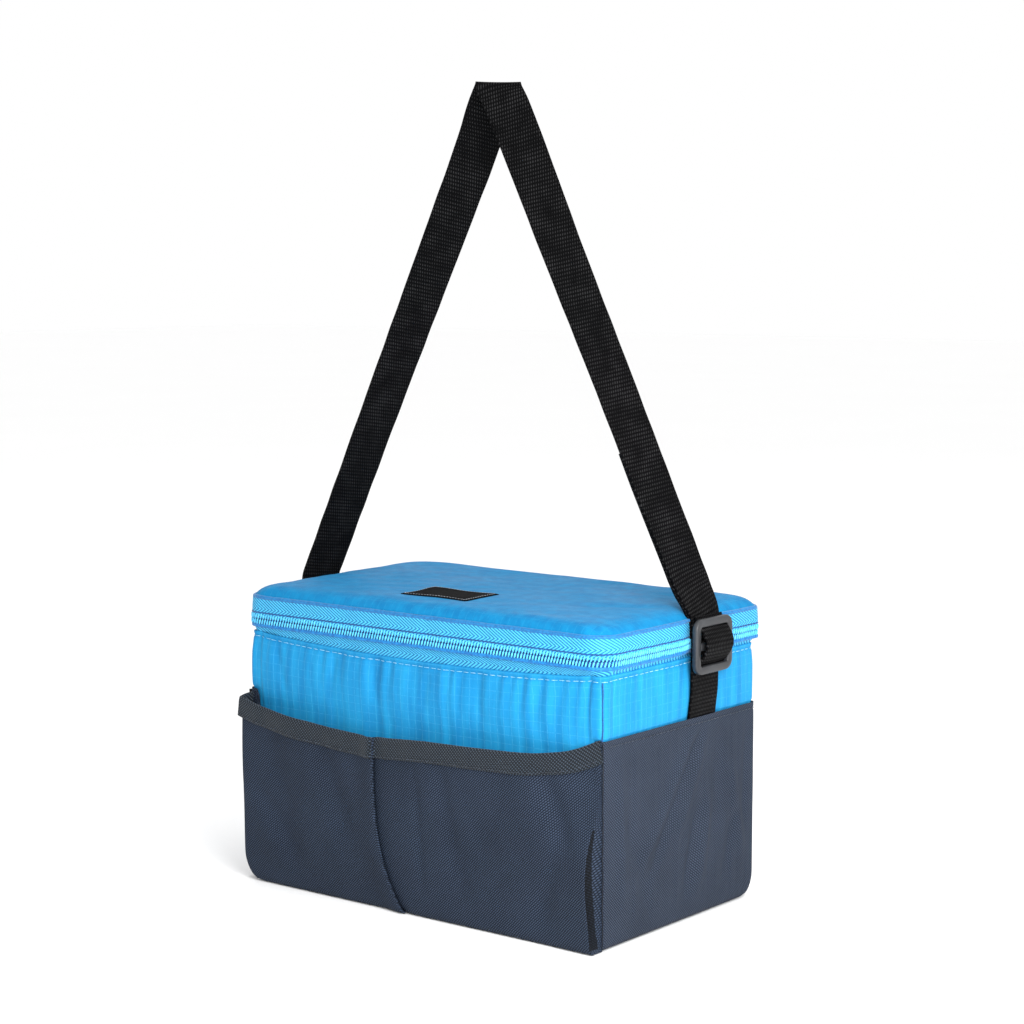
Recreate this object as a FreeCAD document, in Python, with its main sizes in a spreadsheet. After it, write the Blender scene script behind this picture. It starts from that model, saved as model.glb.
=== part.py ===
"""Insulated cooler bag: a soft box with a hinged zipper lid, a bellows pocket and a webbing strap.

Frame: millimetres, +Z up, origin on the floor under the middle of the box,
-Y towards the front pocket, +X towards the end that carries the strap adjuster.
"""
import FreeCAD
import Part
import math
import os
import Sketcher

Vector = FreeCAD.Vector
DOC = FreeCAD.newDocument("CoolerBag")

SIZES = {
    # box
    "bag_width": 250.0,
    "bag_depth": 142.0,
    "body_corner": 22.0,
    "lid_corner": 28.0,
    "hem_height": 110.0,
    "rim_height": 143.4,
    "hinge_height": 151.0,
    "piping_height": 164.0,
    "lid_crown": 6.0,
    "crown_inset_x": 54.0,
    "crown_inset_y": 60.0,
    # sheet goods
    "shell": 1.0,
    "foam": 5.0,
    "liner": 0.6,
    "tape": 0.9,
    "piping": 3.2,
    "piping_outset": 0.96,
    "piping_round": 1.504,
    "seam_gap": 0.2,
    # zipper
    "coil_row": 2.3,
    "coil_thick": 2.4,
    "coil_gap": 1.0,
    "zipper_end": 44.0,
    "zipper_overlap": 2.5,
    "stop_long": 2.0,
    "slider_place": 38.5,
    "slider_long": 10.0,
    "slider_tall": 9.0,
    "slider_plate": 1.2,
    "slider_web": 0.4,
    "slider_web_long": 4.0,
    "slider_outer_gap": 0.4,
    "slider_inner_gap": 0.6,
    "slider_bite": 0.2,
    "ear_half": 1.5,
    "ear_wide": 3.2,
    "pin_clearance": 0.1,
    "pin_hole_long": 12.0,
    "pull_long": 22.0,
    "pull_tall": 7.0,
    "pull_pin": 0.8,
    "pull_arm": 1.6,
    "pull_arm_long": 4.0,
    "pull_plate_start": 3.0,
    # pocket
    "pocket_reach": 10.0,
    "pocket_low": 95.0,
    "pocket_low_place": -10.0,
    "pocket_edge_radius": 600.0,
    "pocket_corner": 20.0,
    "pocket_binding": 11.0,
    "divider_place": -13.0,
    "divider_height": 84.0,
    # label
    "label_long": 46.0,
    "label_wide": 30.0,
    "label_thick": 0.8,
    "label_x": -5.0,
    "label_y": -37.0,
    # strap
    "strap_wide": 25.0,
    "strap_thick": 1.4,
    "strap_place": 18.5,
    "strap_top": 453.0,
    "strap_fold_gap": 0.6,
    "anchor_foot": 92.0,
    "anchor_top": 109.5,
    "glide_plane": 131.7,
    "glide_height": 150.0,
    "glide_wide": 35.0,
    "glide_tall": 30.0,
    "glide_bar": 4.4,
    "glide_rail": 2.4,
}

# Stations up each strap leg: x, y, z of the middle of the webbing, and the turn of its face
# about Z in degrees, where 90 faces along X and 44 faces the front right.
RIGHT_LEG = [
    (127.5, 18.5, 105.0, 90.0),
    (127.7, 18.5, 112.0, 90.0),
    (131.7, 18.5, 124.0, 90.0),
    (131.7, 18.5, 172.0, 90.0),
    (130.6, 16.0, 184.0, 88.0),
    (124.0, 12.0, 202.0, 82.0),
    (108.5, 8.0, 234.0, 74.0),
    (80.0, 5.0, 292.0, 66.0),
    (48.0, 2.5, 357.0, 56.0),
    (21.0, 0.5, 410.0, 47.0),
]
LEFT_LEG = [
    (-127.5, 18.5, 105.0, 90.0),
    (-127.7, 18.5, 112.0, 90.0),
    (-131.0, 17.5, 124.0, 90.0),
    (-136.5, 14.5, 142.0, 90.0),
    (-140.0, 10.0, 162.0, 89.0),
    (-139.0, 8.0, 178.0, 87.0),
    (-126.5, 7.2, 202.0, 83.0),
    (-97.0, 6.0, 261.0, 74.0),
    (-62.0, 4.5, 330.0, 63.0),
    (-22.0, 3.0, 409.0, 49.0),
]
TAIL = [
    (127.9, 18.5, 156.0, 90.0),
    (127.9, 18.5, 172.0, 90.0),
    (127.8, 18.5, 187.0, 88.0),
    (121.0, 15.4, 202.0, 82.0),
    (106.6, 11.2, 234.0, 74.0),
    (96.8, 10.2, 254.0, 71.5),
]
FOLD_TURN = 44.0


class Size:
    """A length known both as a number and as an expression on the sheet."""

    def __init__(self, text, value):
        self.text = text
        self.value = value

    def joined(self, sign, other, value):
        text = other.text if isinstance(other, Size) else repr(float(other))
        return Size("(%s %s %s)" % (self.text, sign, text), value)

    def __add__(self, other):
        return self.joined("+", other, self.value + number(other))

    def __sub__(self, other):
        return self.joined("-", other, self.value - number(other))

    def __mul__(self, other):
        return self.joined("*", other, self.value * number(other))

    def __truediv__(self, other):
        return self.joined("/", other, self.value / number(other))

    def __neg__(self):
        return self * -1.0


def number(size):
    return size.value if isinstance(size, Size) else float(size)


def make_sheet():
    sheet = DOC.addObject("Spreadsheet::Sheet", "Sizes")
    for row, (name, value) in enumerate(SIZES.items(), start=1):
        sheet.set("A%d" % row, name)
        sheet.set("B%d" % row, str(value))
        sheet.setAlias("B%d" % row, name)
    DOC.recompute()
    return sheet


def size(name):
    return Size("Sizes." + name, float(SHEET.get(name)))


def bind(item, prop, length):
    """Ties a property to the sheet, or sets it where the length is a plain number."""
    if isinstance(length, Size):
        item.setExpression(prop, length.text)
    else:
        item.setExpression(prop, repr(float(length)))


SHEET = make_sheet()
PARTS = []

WIDTH = size("bag_width")
DEPTH = size("bag_depth")
HALF_X = WIDTH / 2
HALF_Y = DEPTH / 2
SHELL = size("shell")
FOAM = size("foam")
LINER = size("liner")
TAPE = size("tape")
GAP = size("seam_gap")
RIM = size("rim_height")
HINGE = size("hinge_height")
PIPING = size("piping")
PIPING_Z = size("piping_height")
BODY_CORNER = size("body_corner")
LID_CORNER = size("lid_corner")
COIL_LOW = HINGE - size("coil_gap") / 2 - size("coil_row")
COIL_HIGH = HINGE + size("coil_gap") / 2
TAPE_TOP = PIPING_Z - PIPING / 2


def keep(item, label):
    """Names a finished sub-part and adds it to the list that is written out."""
    item.Label = label
    PARTS.append(item)
    return item


# ---- building blocks -------------------------------------------------------------------------

def new_body(name):
    body = DOC.addObject("PartDesign::Body", name)
    body.Label = name + "_blank"
    return body


def new_sketch(body, name, role, offset):
    """A sketch on one of the body's origin planes, moved along the plane's normal."""
    sketch = body.newObject("Sketcher::SketchObject", name)
    plane = [item for item in body.Origin.OriginFeatures if item.Role == role][0]
    sketch.AttachmentSupport = (plane, "")
    sketch.MapMode = "FlatFace"
    bind(sketch, "AttachmentOffset.Base.z", offset)
    return sketch


def draw_rounded_rectangle(sketch, length, width, corner):
    """Four lines and four corner arcs about the sketch's origin, driven by the sheet."""
    half_x = length.value / 2
    half_y = width.value / 2
    radius = corner.value
    inner_x = half_x - radius
    inner_y = half_y - radius
    normal = Vector(0, 0, 1)
    first = sketch.GeometryCount
    centres = [(inner_x, inner_y), (-inner_x, inner_y), (-inner_x, -inner_y), (inner_x, -inner_y)]
    for turn, (x, y) in enumerate(centres):
        circle = Part.Circle(Vector(x, y, 0), normal, radius)
        start = turn * math.pi / 2
        sketch.addGeometry(Part.ArcOfCircle(circle, start, start + math.pi / 2))
    sides = [
        ((inner_x, half_y), (-inner_x, half_y)),
        ((-half_x, inner_y), (-half_x, -inner_y)),
        ((-inner_x, -half_y), (inner_x, -half_y)),
        ((half_x, -inner_y), (half_x, inner_y)),
    ]
    for start, end in sides:
        sketch.addGeometry(Part.LineSegment(Vector(*start, 0), Vector(*end, 0)))
    for turn in range(4):
        arc = first + turn
        line = first + 4 + turn
        next_arc = first + (turn + 1) % 4
        sketch.addConstraint(Sketcher.Constraint("Tangent", arc, 2, line, 1))
        sketch.addConstraint(Sketcher.Constraint("Tangent", line, 2, next_arc, 1))
        direction = "Horizontal" if turn % 2 == 0 else "Vertical"
        sketch.addConstraint(Sketcher.Constraint(direction, line))
    for turn in range(1, 3):
        sketch.addConstraint(Sketcher.Constraint("Equal", first, first + turn))
    sketch.addConstraint(Sketcher.Constraint("Symmetric", first, 3, first + 2, 3, -1, 1))
    driven = [
        (Sketcher.Constraint("Radius", first, radius), corner),
        (Sketcher.Constraint("DistanceX", -1, 1, first, 3, inner_x), length / 2 - corner),
        (Sketcher.Constraint("DistanceY", -1, 1, first, 3, inner_y), width / 2 - corner),
    ]
    for constraint, length_cell in driven:
        index = sketch.addConstraint(constraint)
        sketch.setExpression("Constraints[%d]" % index, length_cell.text)


def pad(body, name, sketch, length):
    feature = body.newObject("PartDesign::Pad", name)
    feature.Profile = sketch
    bind(feature, "Length", length)
    return feature


def plate(name, length, width, corner, bottom, thickness):
    """A rounded plate lying flat."""
    body = new_body(name)
    sketch = new_sketch(body, name + "_outline", "XY_Plane", bottom)
    draw_rounded_rectangle(sketch, length, width, corner)
    pad(body, name + "_pad", sketch, thickness)
    return body


def ring(name, inset, corner, thickness, bottom, top):
    """A wall of even thickness that runs all the way round the box."""
    body = new_body(name)
    sketch = new_sketch(body, name + "_outline", "XY_Plane", bottom)
    draw_rounded_rectangle(sketch, WIDTH - inset * 2, DEPTH - inset * 2, corner)
    inner = inset + thickness
    draw_rounded_rectangle(sketch, WIDTH - inner * 2, DEPTH - inner * 2, corner - thickness)
    pad(body, name + "_pad", sketch, top - bottom)
    return body


def box(name, low, high):
    """A block between two corners."""
    item = DOC.addObject("Part::Box", name)
    for prop, axis in (("Length", 0), ("Width", 1), ("Height", 2)):
        bind(item, prop, (as_size(high[axis]) - low[axis]))
        bind(item, "Placement.Base." + "xyz"[axis], low[axis])
    return item


def as_size(length):
    return length if isinstance(length, Size) else Size(repr(float(length)), float(length))


def common(name, base, tool):
    item = DOC.addObject("Part::Common", name)
    item.Base = base
    item.Tool = tool
    return item


def cut(name, base, tool):
    item = DOC.addObject("Part::Cut", name)
    item.Base = base
    item.Tool = tool
    return item


def fuse(name, shapes):
    item = DOC.addObject("Part::MultiFuse", name)
    item.Shapes = shapes
    return item


def four_walls(ring_body, names, bottom, top, corner):
    """Splits a ring into front, back, left and right walls that meet in the rounded corners."""
    split_y = HALF_Y - corner * (1 - math.sqrt(0.5))
    spans = {
        "front": ((-HALF_X, -HALF_Y), (HALF_X, -split_y)),
        "back": ((-HALF_X, split_y), (HALF_X, HALF_Y)),
        "left": ((-HALF_X, -split_y), (as_size(0), split_y)),
        "right": ((as_size(0), -split_y), (HALF_X, split_y)),
    }
    for side, label in names.items():
        low, high = spans[side]
        block = box(label + "_cutter", (low[0], low[1], bottom), (high[0], high[1], top))
        keep(common(label, ring_body, block), label)


def crowned_sheet(name, inset, corner, edge, thickness):
    """A domed sheet: a padded outline with a loft over it and the same loft taken from below."""
    body = new_body(name)
    length = WIDTH - inset * 2
    width = DEPTH - inset * 2
    crown = size("lid_crown")
    def outline(label, level, flat):
        sketch = new_sketch(body, name + label, "XY_Plane", level)
        if flat:
            draw_rounded_rectangle(
                sketch, length - size("crown_inset_x") * 2, width - size("crown_inset_y") * 2,
                size("shell") * 4)
        else:
            draw_rounded_rectangle(sketch, length, width, corner)
        return sketch

    pad(body, name + "_pad", outline("_edge", edge - thickness, False), thickness)
    dome = body.newObject("PartDesign::AdditiveLoft", name + "_dome")
    dome.Profile = outline("_low", edge, False)
    dome.Sections = [outline("_top", edge + crown, True)]
    hollow = body.newObject("PartDesign::SubtractiveLoft", name + "_hollow")
    hollow.Profile = outline("_under", edge - thickness, False)
    hollow.Sections = [outline("_crown", edge - thickness + crown, True)]
    return keep(body, name)


def strip(name, stations, wide, thick):
    """Webbing lofted through upright rectangles, each turned to face its own way."""
    wires = []
    for x, y, z, turn in stations:
        angle = math.radians(turn)
        across = Vector(math.cos(angle), math.sin(angle), 0) * (wide / 2)
        outward = Vector(math.sin(angle), -math.cos(angle), 0) * (thick / 2)
        middle = Vector(x, y, z)
        corners = [middle + across + outward, middle - across + outward,
                   middle - across - outward, middle + across - outward]
        wires.append(Part.makePolygon(corners + corners[:1]))
    return Part.makeLoft(wires, True, True)


def feature(name, shape):
    item = DOC.addObject("Part::Feature", name)
    item.Shape = shape
    item.Placement = FreeCAD.Placement()
    return keep(item, name)


# ---- box -------------------------------------------------------------------------------------

def make_shell():
    floor = plate("bottom_panel", WIDTH, DEPTH, BODY_CORNER, as_size(0), SHELL)
    keep(floor, "bottom_panel")
    hem = size("hem_height")
    lower = ring("lower_shell", as_size(0), BODY_CORNER, SHELL, SHELL, hem)
    lower_names = {side: side + "_lower_panel" for side in ("front", "back", "left", "right")}
    four_walls(lower, lower_names, SHELL, hem, BODY_CORNER)
    upper = ring("upper_shell", as_size(0), BODY_CORNER, SHELL, hem, RIM)
    upper_names = {side: side + "_upper_panel" for side in ("front", "back", "left", "right")}
    four_walls(upper, upper_names, hem, RIM, BODY_CORNER)


def make_insulation():
    foam_top = RIM - FOAM / 5
    foam_low = SHELL + FOAM
    inset = SHELL
    corner = BODY_CORNER - SHELL
    base = plate("base_foam", WIDTH - inset * 2, DEPTH - inset * 2, corner, SHELL, FOAM)
    keep(base, "base_foam")
    wall = ring("foam_wall", inset, corner, FOAM, foam_low, foam_top)
    names = {side: side + "_foam" for side in ("front", "back", "left", "right")}
    four_walls(wall, names, foam_low, foam_top, BODY_CORNER)
    return foam_low, foam_top


def make_liner(foam_low, foam_top):
    inset = SHELL + FOAM
    corner = BODY_CORNER - inset
    length = WIDTH - inset * 2
    width = DEPTH - inset * 2
    floor = plate("liner_floor", length, width, corner, foam_low, LINER)
    wall = ring("liner_wall", inset, corner, LINER, foam_low, foam_top)
    keep(fuse("liner_tub", [floor, wall]), "liner_tub")
    binding = ring("rim_binding", SHELL, BODY_CORNER - SHELL, FOAM + LINER, foam_top, RIM + GAP * 2)
    keep(binding, "rim_binding")


def make_zipper():
    """Lower and upper tapes and coils along the front and both ends, with a plain strip behind."""
    end = size("zipper_end")
    coil_inset = (TAPE - size("coil_thick")) / 2
    coil_corner = LID_CORNER - coil_inset
    rings = [
        ("lower_zipper_tape", as_size(0), LID_CORNER, TAPE, RIM + GAP * 2, COIL_LOW),
        ("lower_zipper_coil", coil_inset, coil_corner, size("coil_thick"), COIL_LOW,
         COIL_LOW + size("coil_row")),
        ("upper_zipper_coil", coil_inset, coil_corner, size("coil_thick"), COIL_HIGH,
         COIL_HIGH + size("coil_row")),
        ("upper_zipper_tape", as_size(0), LID_CORNER, TAPE, COIL_HIGH + size("coil_row"), TAPE_TOP),
    ]
    reach = HALF_X + size("coil_thick")
    for name, inset, corner, thick, bottom, top in rings:
        wall = ring(name + "_ring", inset, corner, thick, bottom, top)
        block = box(name + "_cutter", (-reach, -reach, bottom), (reach, end, top))
        keep(common(name, wall, block), name)
    strips = [
        ("hinge_strip_lower", RIM + GAP * 2, HINGE - GAP),
        ("hinge_strip_upper", HINGE + GAP, TAPE_TOP),
    ]
    for name, bottom, top in strips:
        wall = ring(name + "_ring", as_size(0), LID_CORNER, SHELL, bottom, top)
        block = box(name + "_cutter", (-reach, end + size("zipper_overlap"), bottom),
                    (reach, HALF_Y, top))
        keep(common(name, wall, block), name)
    for side, label in ((-1, "zipper_stop_left"), (1, "zipper_stop_right")):
        middle = (HALF_X - TAPE / 2) * side
        half = size("coil_thick") / 2
        stop = box(label, (middle - half, end + GAP, COIL_LOW - size("coil_row")),
                   (middle + half, end + GAP + size("stop_long"), COIL_LOW + size("coil_row")))
        keep(stop, label)


def make_slider():
    """Two plates joined by a thin web between the coils, with an ear for the pull."""
    face = HALF_X + (size("coil_thick") - TAPE) / 2 + size("slider_outer_gap")
    inside = HALF_X - TAPE - (size("coil_thick") - TAPE) / 2 - size("slider_inner_gap")
    plate_thick = size("slider_plate")
    place = size("slider_place")
    half_long = size("slider_long") / 2
    half_tall = size("slider_tall") / 2
    web = size("slider_web") / 2
    outer = box("slider_outer", (-(face + plate_thick), place - half_long, HINGE - half_tall),
                (-face, place + half_long, HINGE + half_tall))
    inner = box("slider_inner", (-inside, place - half_long, HINGE - half_tall),
                (-(inside - plate_thick), place + half_long, HINGE + half_tall))
    bite = size("slider_bite")
    half_web = size("slider_web_long") / 2
    joint = box("slider_joint", (-(face + bite), place - half_web, HINGE - web),
                (-(inside - bite), place + half_web, HINGE + web))
    ear_half = size("ear_half")
    ear_side = size("ear_wide") / 2
    pivot = face + plate_thick + ear_half
    ear = box("slider_ear_block", (-(pivot + ear_half), place - ear_side, HINGE - ear_half),
              (-(face + plate_thick / 2), place + ear_side, HINGE + ear_half))
    hole = DOC.addObject("Part::Cylinder", "slider_hole")
    bind(hole, "Radius", size("pull_pin") + size("pin_clearance"))
    bind(hole, "Height", size("pin_hole_long"))
    bind(hole, "Placement.Base.x", -pivot)
    bind(hole, "Placement.Base.y", place)
    bind(hole, "Placement.Base.z", HINGE - size("pin_hole_long") / 2)
    whole = fuse("slider_whole", [outer, inner, joint, ear])
    keep(cut("zipper_slider", whole, hole), "zipper_slider")
    make_pull(pivot, place)


def make_pull(pivot, place):
    """A flat tab on two arms, with a round pin through the slider's ear."""
    half = size("pull_tall") / 2
    pin = DOC.addObject("Part::Cylinder", "pull_pin_rod")
    bind(pin, "Radius", size("pull_pin"))
    bind(pin, "Height", half * 2)
    bind(pin, "Placement.Base.x", -pivot)
    bind(pin, "Placement.Base.y", place)
    bind(pin, "Placement.Base.z", HINGE - half)
    thick = size("pull_pin")
    arm = size("pull_arm")
    pieces = [pin]
    for side, bottom in (("low", HINGE - half), ("high", HINGE + half - arm)):
        pieces.append(box("pull_arm_" + side, (-(pivot + thick), place, bottom),
                          (-(pivot - thick), place + size("pull_arm_long"), bottom + arm)))
    pieces.append(box("pull_plate",
                      (-(pivot + thick), place + size("pull_plate_start"), HINGE - half),
                      (-(pivot - thick), place + size("pull_long"), HINGE + half)))
    keep(fuse("pull_tab", pieces), "pull_tab")


# ---- lid -------------------------------------------------------------------------------------

def make_lid():
    inner = PIPING * 0.75
    edge = PIPING_Z
    corner = LID_CORNER - inner
    crowned_sheet("lid_top_panel", inner, corner, edge, SHELL)
    crowned_sheet("lid_foam", inner, corner, edge - SHELL, FOAM)
    crowned_sheet("lid_liner", inner, corner, edge - SHELL - FOAM, LINER)
    make_piping()
    seam = ring("lid_binding", TAPE + GAP / 2, LID_CORNER - TAPE, SHELL * 1.3,
                edge - SHELL - FOAM - LINER, TAPE_TOP)
    keep(seam, "lid_binding")
    make_label()


def make_piping():
    """A cord in a fabric cover along the lid's edge: a square ring rounded on all its edges."""
    outset = -size("piping_outset")
    body = ring("piping_ring", outset, LID_CORNER - outset, PIPING, PIPING_Z - PIPING / 2,
                PIPING_Z + PIPING / 2)
    DOC.recompute()
    block = body.Tip
    flat = [index for index, edge in enumerate(block.Shape.Edges, start=1)
            if abs(edge.tangentAt(edge.FirstParameter).z) < 0.5]
    rounding = body.newObject("PartDesign::Fillet", "piping_rounding")
    rounding.Base = (block, ["Edge%d" % index for index in flat])
    bind(rounding, "Radius", size("piping_round"))
    keep(body, "lid_piping")


def make_label():
    """A blank woven patch lying on the slope of the lid's crown."""
    slope = math.degrees(math.atan2(SIZES["lid_crown"], SIZES["crown_inset_y"]))
    item = DOC.addObject("Part::Box", "label_block")
    bind(item, "Length", size("label_long"))
    bind(item, "Width", size("label_wide"))
    bind(item, "Height", size("label_thick"))
    rise = math.tan(math.radians(slope))
    front = HALF_Y - PIPING * 0.75
    near = size("label_y") - size("label_wide") / 2
    bind(item, "Placement.Base.x", size("label_x") - size("label_long") / 2)
    bind(item, "Placement.Base.y", near)
    bind(item, "Placement.Base.z", PIPING_Z + (near + front) * rise + GAP)
    item.setExpression("Placement.Rotation.Angle", "%.4f deg" % slope)
    item.setExpression("Placement.Rotation.Axis.x", "1")
    item.setExpression("Placement.Rotation.Axis.z", "0")
    keep(item, "lid_label")


# ---- pocket ----------------------------------------------------------------------------------

def make_pocket():
    """A shallow bellows pocket over the whole front, split by an upright divider."""
    front = HALF_Y + size("pocket_reach")
    back = HALF_Y + GAP
    side_x = HALF_X - GAP
    rounding = size("pocket_corner")
    top = size("divider_height")
    make_pocket_front(front, rounding)
    keep(box("pocket_left_gusset", (-side_x, -(front - SHELL), rounding),
             (-(side_x - SHELL), -back, top)), "pocket_left_gusset")
    keep(box("pocket_right_gusset", (side_x - SHELL, -(front - SHELL), SHELL),
             (side_x, -back, top)), "pocket_right_gusset")
    keep(box("pocket_floor", (-(side_x - rounding), -(front - SHELL), as_size(0)),
             (side_x, -back, SHELL)), "pocket_floor")
    middle = size("divider_place")
    keep(box("pocket_divider", (middle - SHELL / 2, -(front - SHELL), SHELL),
             (middle + SHELL / 2, -back, top)), "pocket_divider")


def roller(name, radius, x, z, front):
    """A cylinder lying across the pocket's front."""
    item = DOC.addObject("Part::Cylinder", name)
    bind(item, "Radius", radius)
    bind(item, "Height", as_size(20))
    bind(item, "Placement.Base.x", x)
    bind(item, "Placement.Base.y", -(front - 10))
    bind(item, "Placement.Base.z", z)
    item.setExpression("Placement.Rotation.Angle", "90 deg")
    item.setExpression("Placement.Rotation.Axis.x", "1")
    item.setExpression("Placement.Rotation.Axis.z", "0")
    return item


def make_pocket_front(front, rounding):
    """The pocket's face under a folded binding, whose top edge hangs in one shallow arc."""
    radius = size("pocket_edge_radius")
    centre_x = size("pocket_low_place")
    centre_z = size("pocket_low") + radius
    band = size("pocket_binding")
    top = size("hem_height") + 4
    blank = box("pocket_blank", (-HALF_X, -front, as_size(0)), (HALF_X, -(front - SHELL), top))
    under = roller("pocket_under_edge", radius + band, centre_x, centre_z, front)
    corner_block = box("pocket_corner_block", (-HALF_X, -front, as_size(0)),
                       (-(HALF_X - rounding), -(front - SHELL), rounding))
    corner_round = roller("pocket_corner_round", rounding, -(HALF_X - rounding), rounding, front)
    corner = cut("pocket_corner_piece", corner_block, corner_round)
    hung = cut("pocket_hung", blank, under)
    keep(cut("pocket_panel", hung, corner), "pocket_panel")
    thick = SHELL * 0.4
    band_block = box("binding_blank", (-HALF_X, -(front + thick), size("pocket_low") - band * 2),
                     (HALF_X, -(front - SHELL - thick), top))
    band_over = roller("binding_over", radius, centre_x, centre_z, front)
    band_under = roller("binding_under", radius + band, centre_x, centre_z, front)
    arc = cut("binding_arc", band_under, band_over)
    keep(common("pocket_binding", band_block, arc), "pocket_binding")


# ---- strap -----------------------------------------------------------------------------------

def make_strap():
    """Webbing sewn to both ends, folded flat at the top, with its tail behind the right leg."""
    wide = SIZES["strap_wide"]
    thick = SIZES["strap_thick"]
    top = SIZES["strap_top"]
    turn = math.radians(FOLD_TURN)
    away = Vector(-math.sin(turn), math.cos(turn), 0)
    gap = SIZES["strap_fold_gap"]
    behind = away * (thick + gap)
    right_top = (0.0, 0.0, top, FOLD_TURN)
    left_top = (behind.x, behind.y, top, FOLD_TURN)
    right = strip("right", RIGHT_LEG + [right_top], wide, thick)
    left = strip("left", LEFT_LEG + [left_top], wide, thick)
    across = Vector(math.cos(turn), math.sin(turn), 0) * (wide / 2)
    front = away * (-thick / 2)
    back = away * (thick * 1.5 + gap)
    foot = Vector(0, 0, top)
    corners = [foot + across + front, foot - across + front, foot - across + back,
               foot + across + back]
    base = Part.Face(Part.makePolygon(corners + corners[:1]))
    crease = base.extrude(Vector(0, 0, thick))
    webbing = right.fuse([left, crease]).removeSplitter()
    feature("strap_webbing", webbing)
    feature("strap_tail", strip("tail", TAIL, wide, thick))
    for side, label in ((-1, "strap_anchor_left"), (1, "strap_anchor_right")):
        half = size("strap_wide") / 2
        place = size("strap_place")
        near = (HALF_X + GAP) * side
        far = (HALF_X + GAP + size("strap_thick")) * side
        low_x, high_x = (far, near) if side < 0 else (near, far)
        anchor = box(label, (low_x, place - half, size("anchor_foot")),
                     (high_x, place + half, size("anchor_top")))
        keep(anchor, label)


def make_glide():
    """A frame of two side rails, two outer bars and one inner bar, woven by the webbing."""
    place = size("strap_place")
    middle = size("glide_height")
    plane = size("glide_plane")
    slot = size("strap_thick") / 2 + 0.3
    half_tall = size("glide_tall") / 2
    half_wide = size("glide_wide") / 2
    bar = size("glide_bar")
    rail_in = size("strap_wide") / 2 + 0.3
    outer_low = plane + slot
    outer_high = outer_low + size("glide_rail")
    inner_high = plane - slot
    inner_low = inner_high - size("glide_rail") * 0.8
    pieces = []
    for name, low, high in (("front", -half_wide, -rail_in), ("back", rail_in, half_wide)):
        pieces.append(box("glide_rail_" + name, (inner_low, place + low, middle - half_tall),
                          (outer_high, place + high, middle + half_tall)))
    for name, low, high in (("low", -half_tall, -half_tall + bar), ("high", half_tall - bar, half_tall)):
        pieces.append(box("glide_bar_" + name, (outer_low, place - half_wide, middle + low),
                          (outer_high, place + half_wide, middle + high)))
    pieces.append(box("glide_bar_inner", (inner_low, place - half_wide, middle - bar / 2),
                      (inner_high, place + half_wide, middle + bar / 2)))
    keep(fuse("tri_glide", pieces), "tri_glide")


# ---- whole -----------------------------------------------------------------------------------

def check_and_write():
    DOC.recompute()
    for item in DOC.Objects:
        bad = [state for state in item.State if state in ("Invalid", "Error")]
        if bad:
            raise SystemExit("%s is %s" % (item.Name, bad))
    for item in PARTS:
        if item.Shape.isNull() or not item.Shape.isValid():
            raise SystemExit("%s has no valid shape" % item.Label)
        if item.Shape.Volume <= 0:
            raise SystemExit("%s has no volume" % item.Label)
    os.makedirs("parts", exist_ok=True)
    for item in PARTS:
        item.Shape.exportStep(os.path.join("parts", item.Label + ".step"))
        reach = item.Shape.BoundBox
        print("%-24s %9.1f mm3  x %7.1f %7.1f  y %6.1f %6.1f  z %6.1f %6.1f  solids %d" % (
            item.Label, item.Shape.Volume, reach.XMin, reach.XMax, reach.YMin, reach.YMax,
            reach.ZMin, reach.ZMax, len(item.Shape.Solids)))


make_shell()
make_liner(*make_insulation())
make_zipper()
make_slider()
make_lid()
make_pocket()
make_strap()
make_glide()
check_and_write()
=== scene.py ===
import math

import bpy
import numpy as np
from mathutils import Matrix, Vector


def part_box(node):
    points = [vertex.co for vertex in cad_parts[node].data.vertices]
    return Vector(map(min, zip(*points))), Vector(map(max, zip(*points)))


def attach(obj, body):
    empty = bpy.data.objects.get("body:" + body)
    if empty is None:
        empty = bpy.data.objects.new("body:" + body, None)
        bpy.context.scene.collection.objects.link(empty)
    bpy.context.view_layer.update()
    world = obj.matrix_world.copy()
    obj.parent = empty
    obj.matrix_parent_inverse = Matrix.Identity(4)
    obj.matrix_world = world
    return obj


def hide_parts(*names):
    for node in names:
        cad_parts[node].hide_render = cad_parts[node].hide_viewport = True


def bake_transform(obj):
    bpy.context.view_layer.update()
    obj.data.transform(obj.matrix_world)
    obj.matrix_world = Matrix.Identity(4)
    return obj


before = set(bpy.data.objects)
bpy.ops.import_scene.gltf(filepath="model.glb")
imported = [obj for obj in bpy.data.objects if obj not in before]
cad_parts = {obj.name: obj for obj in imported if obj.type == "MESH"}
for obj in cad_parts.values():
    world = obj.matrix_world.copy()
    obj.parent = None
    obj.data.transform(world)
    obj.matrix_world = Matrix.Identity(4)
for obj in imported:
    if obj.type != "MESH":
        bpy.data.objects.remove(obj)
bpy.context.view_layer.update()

MM = 0.001

# ---- places taken from the frame, in millimetres -------------------------------------------------


def node_box(node):
    low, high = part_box(node)
    return np.array(low) / MM, np.array(high) / MM


FLOOR_HIGH = node_box("bottom_panel")[1]
HALF_X = FLOOR_HIGH[0]
HALF_Y = FLOOR_HIGH[1]
HEM = node_box("front_lower_panel")[1][2]
RIM = node_box("front_upper_panel")[1][2]
PIPING_LOW, PIPING_HIGH = node_box("lid_piping")
PIPING_Z = (PIPING_LOW[2] + PIPING_HIGH[2]) / 2
LID_TOP = node_box("lid_top_panel")[1][2]
HINGE = (node_box("lower_zipper_coil")[1][2] + node_box("upper_zipper_coil")[0][2]) / 2
ZIP_END = node_box("lower_zipper_coil")[1][1]
POCKET_Y = node_box("pocket_panel")[0][1]
LABEL_LOW, LABEL_HIGH = node_box("lid_label")
GLIDE_LOW, GLIDE_HIGH = node_box("tri_glide")
STRAP_TOP = node_box("strap_webbing")[1][2]
ANCHOR_LOW, ANCHOR_HIGH = node_box("strap_anchor_right")
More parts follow.
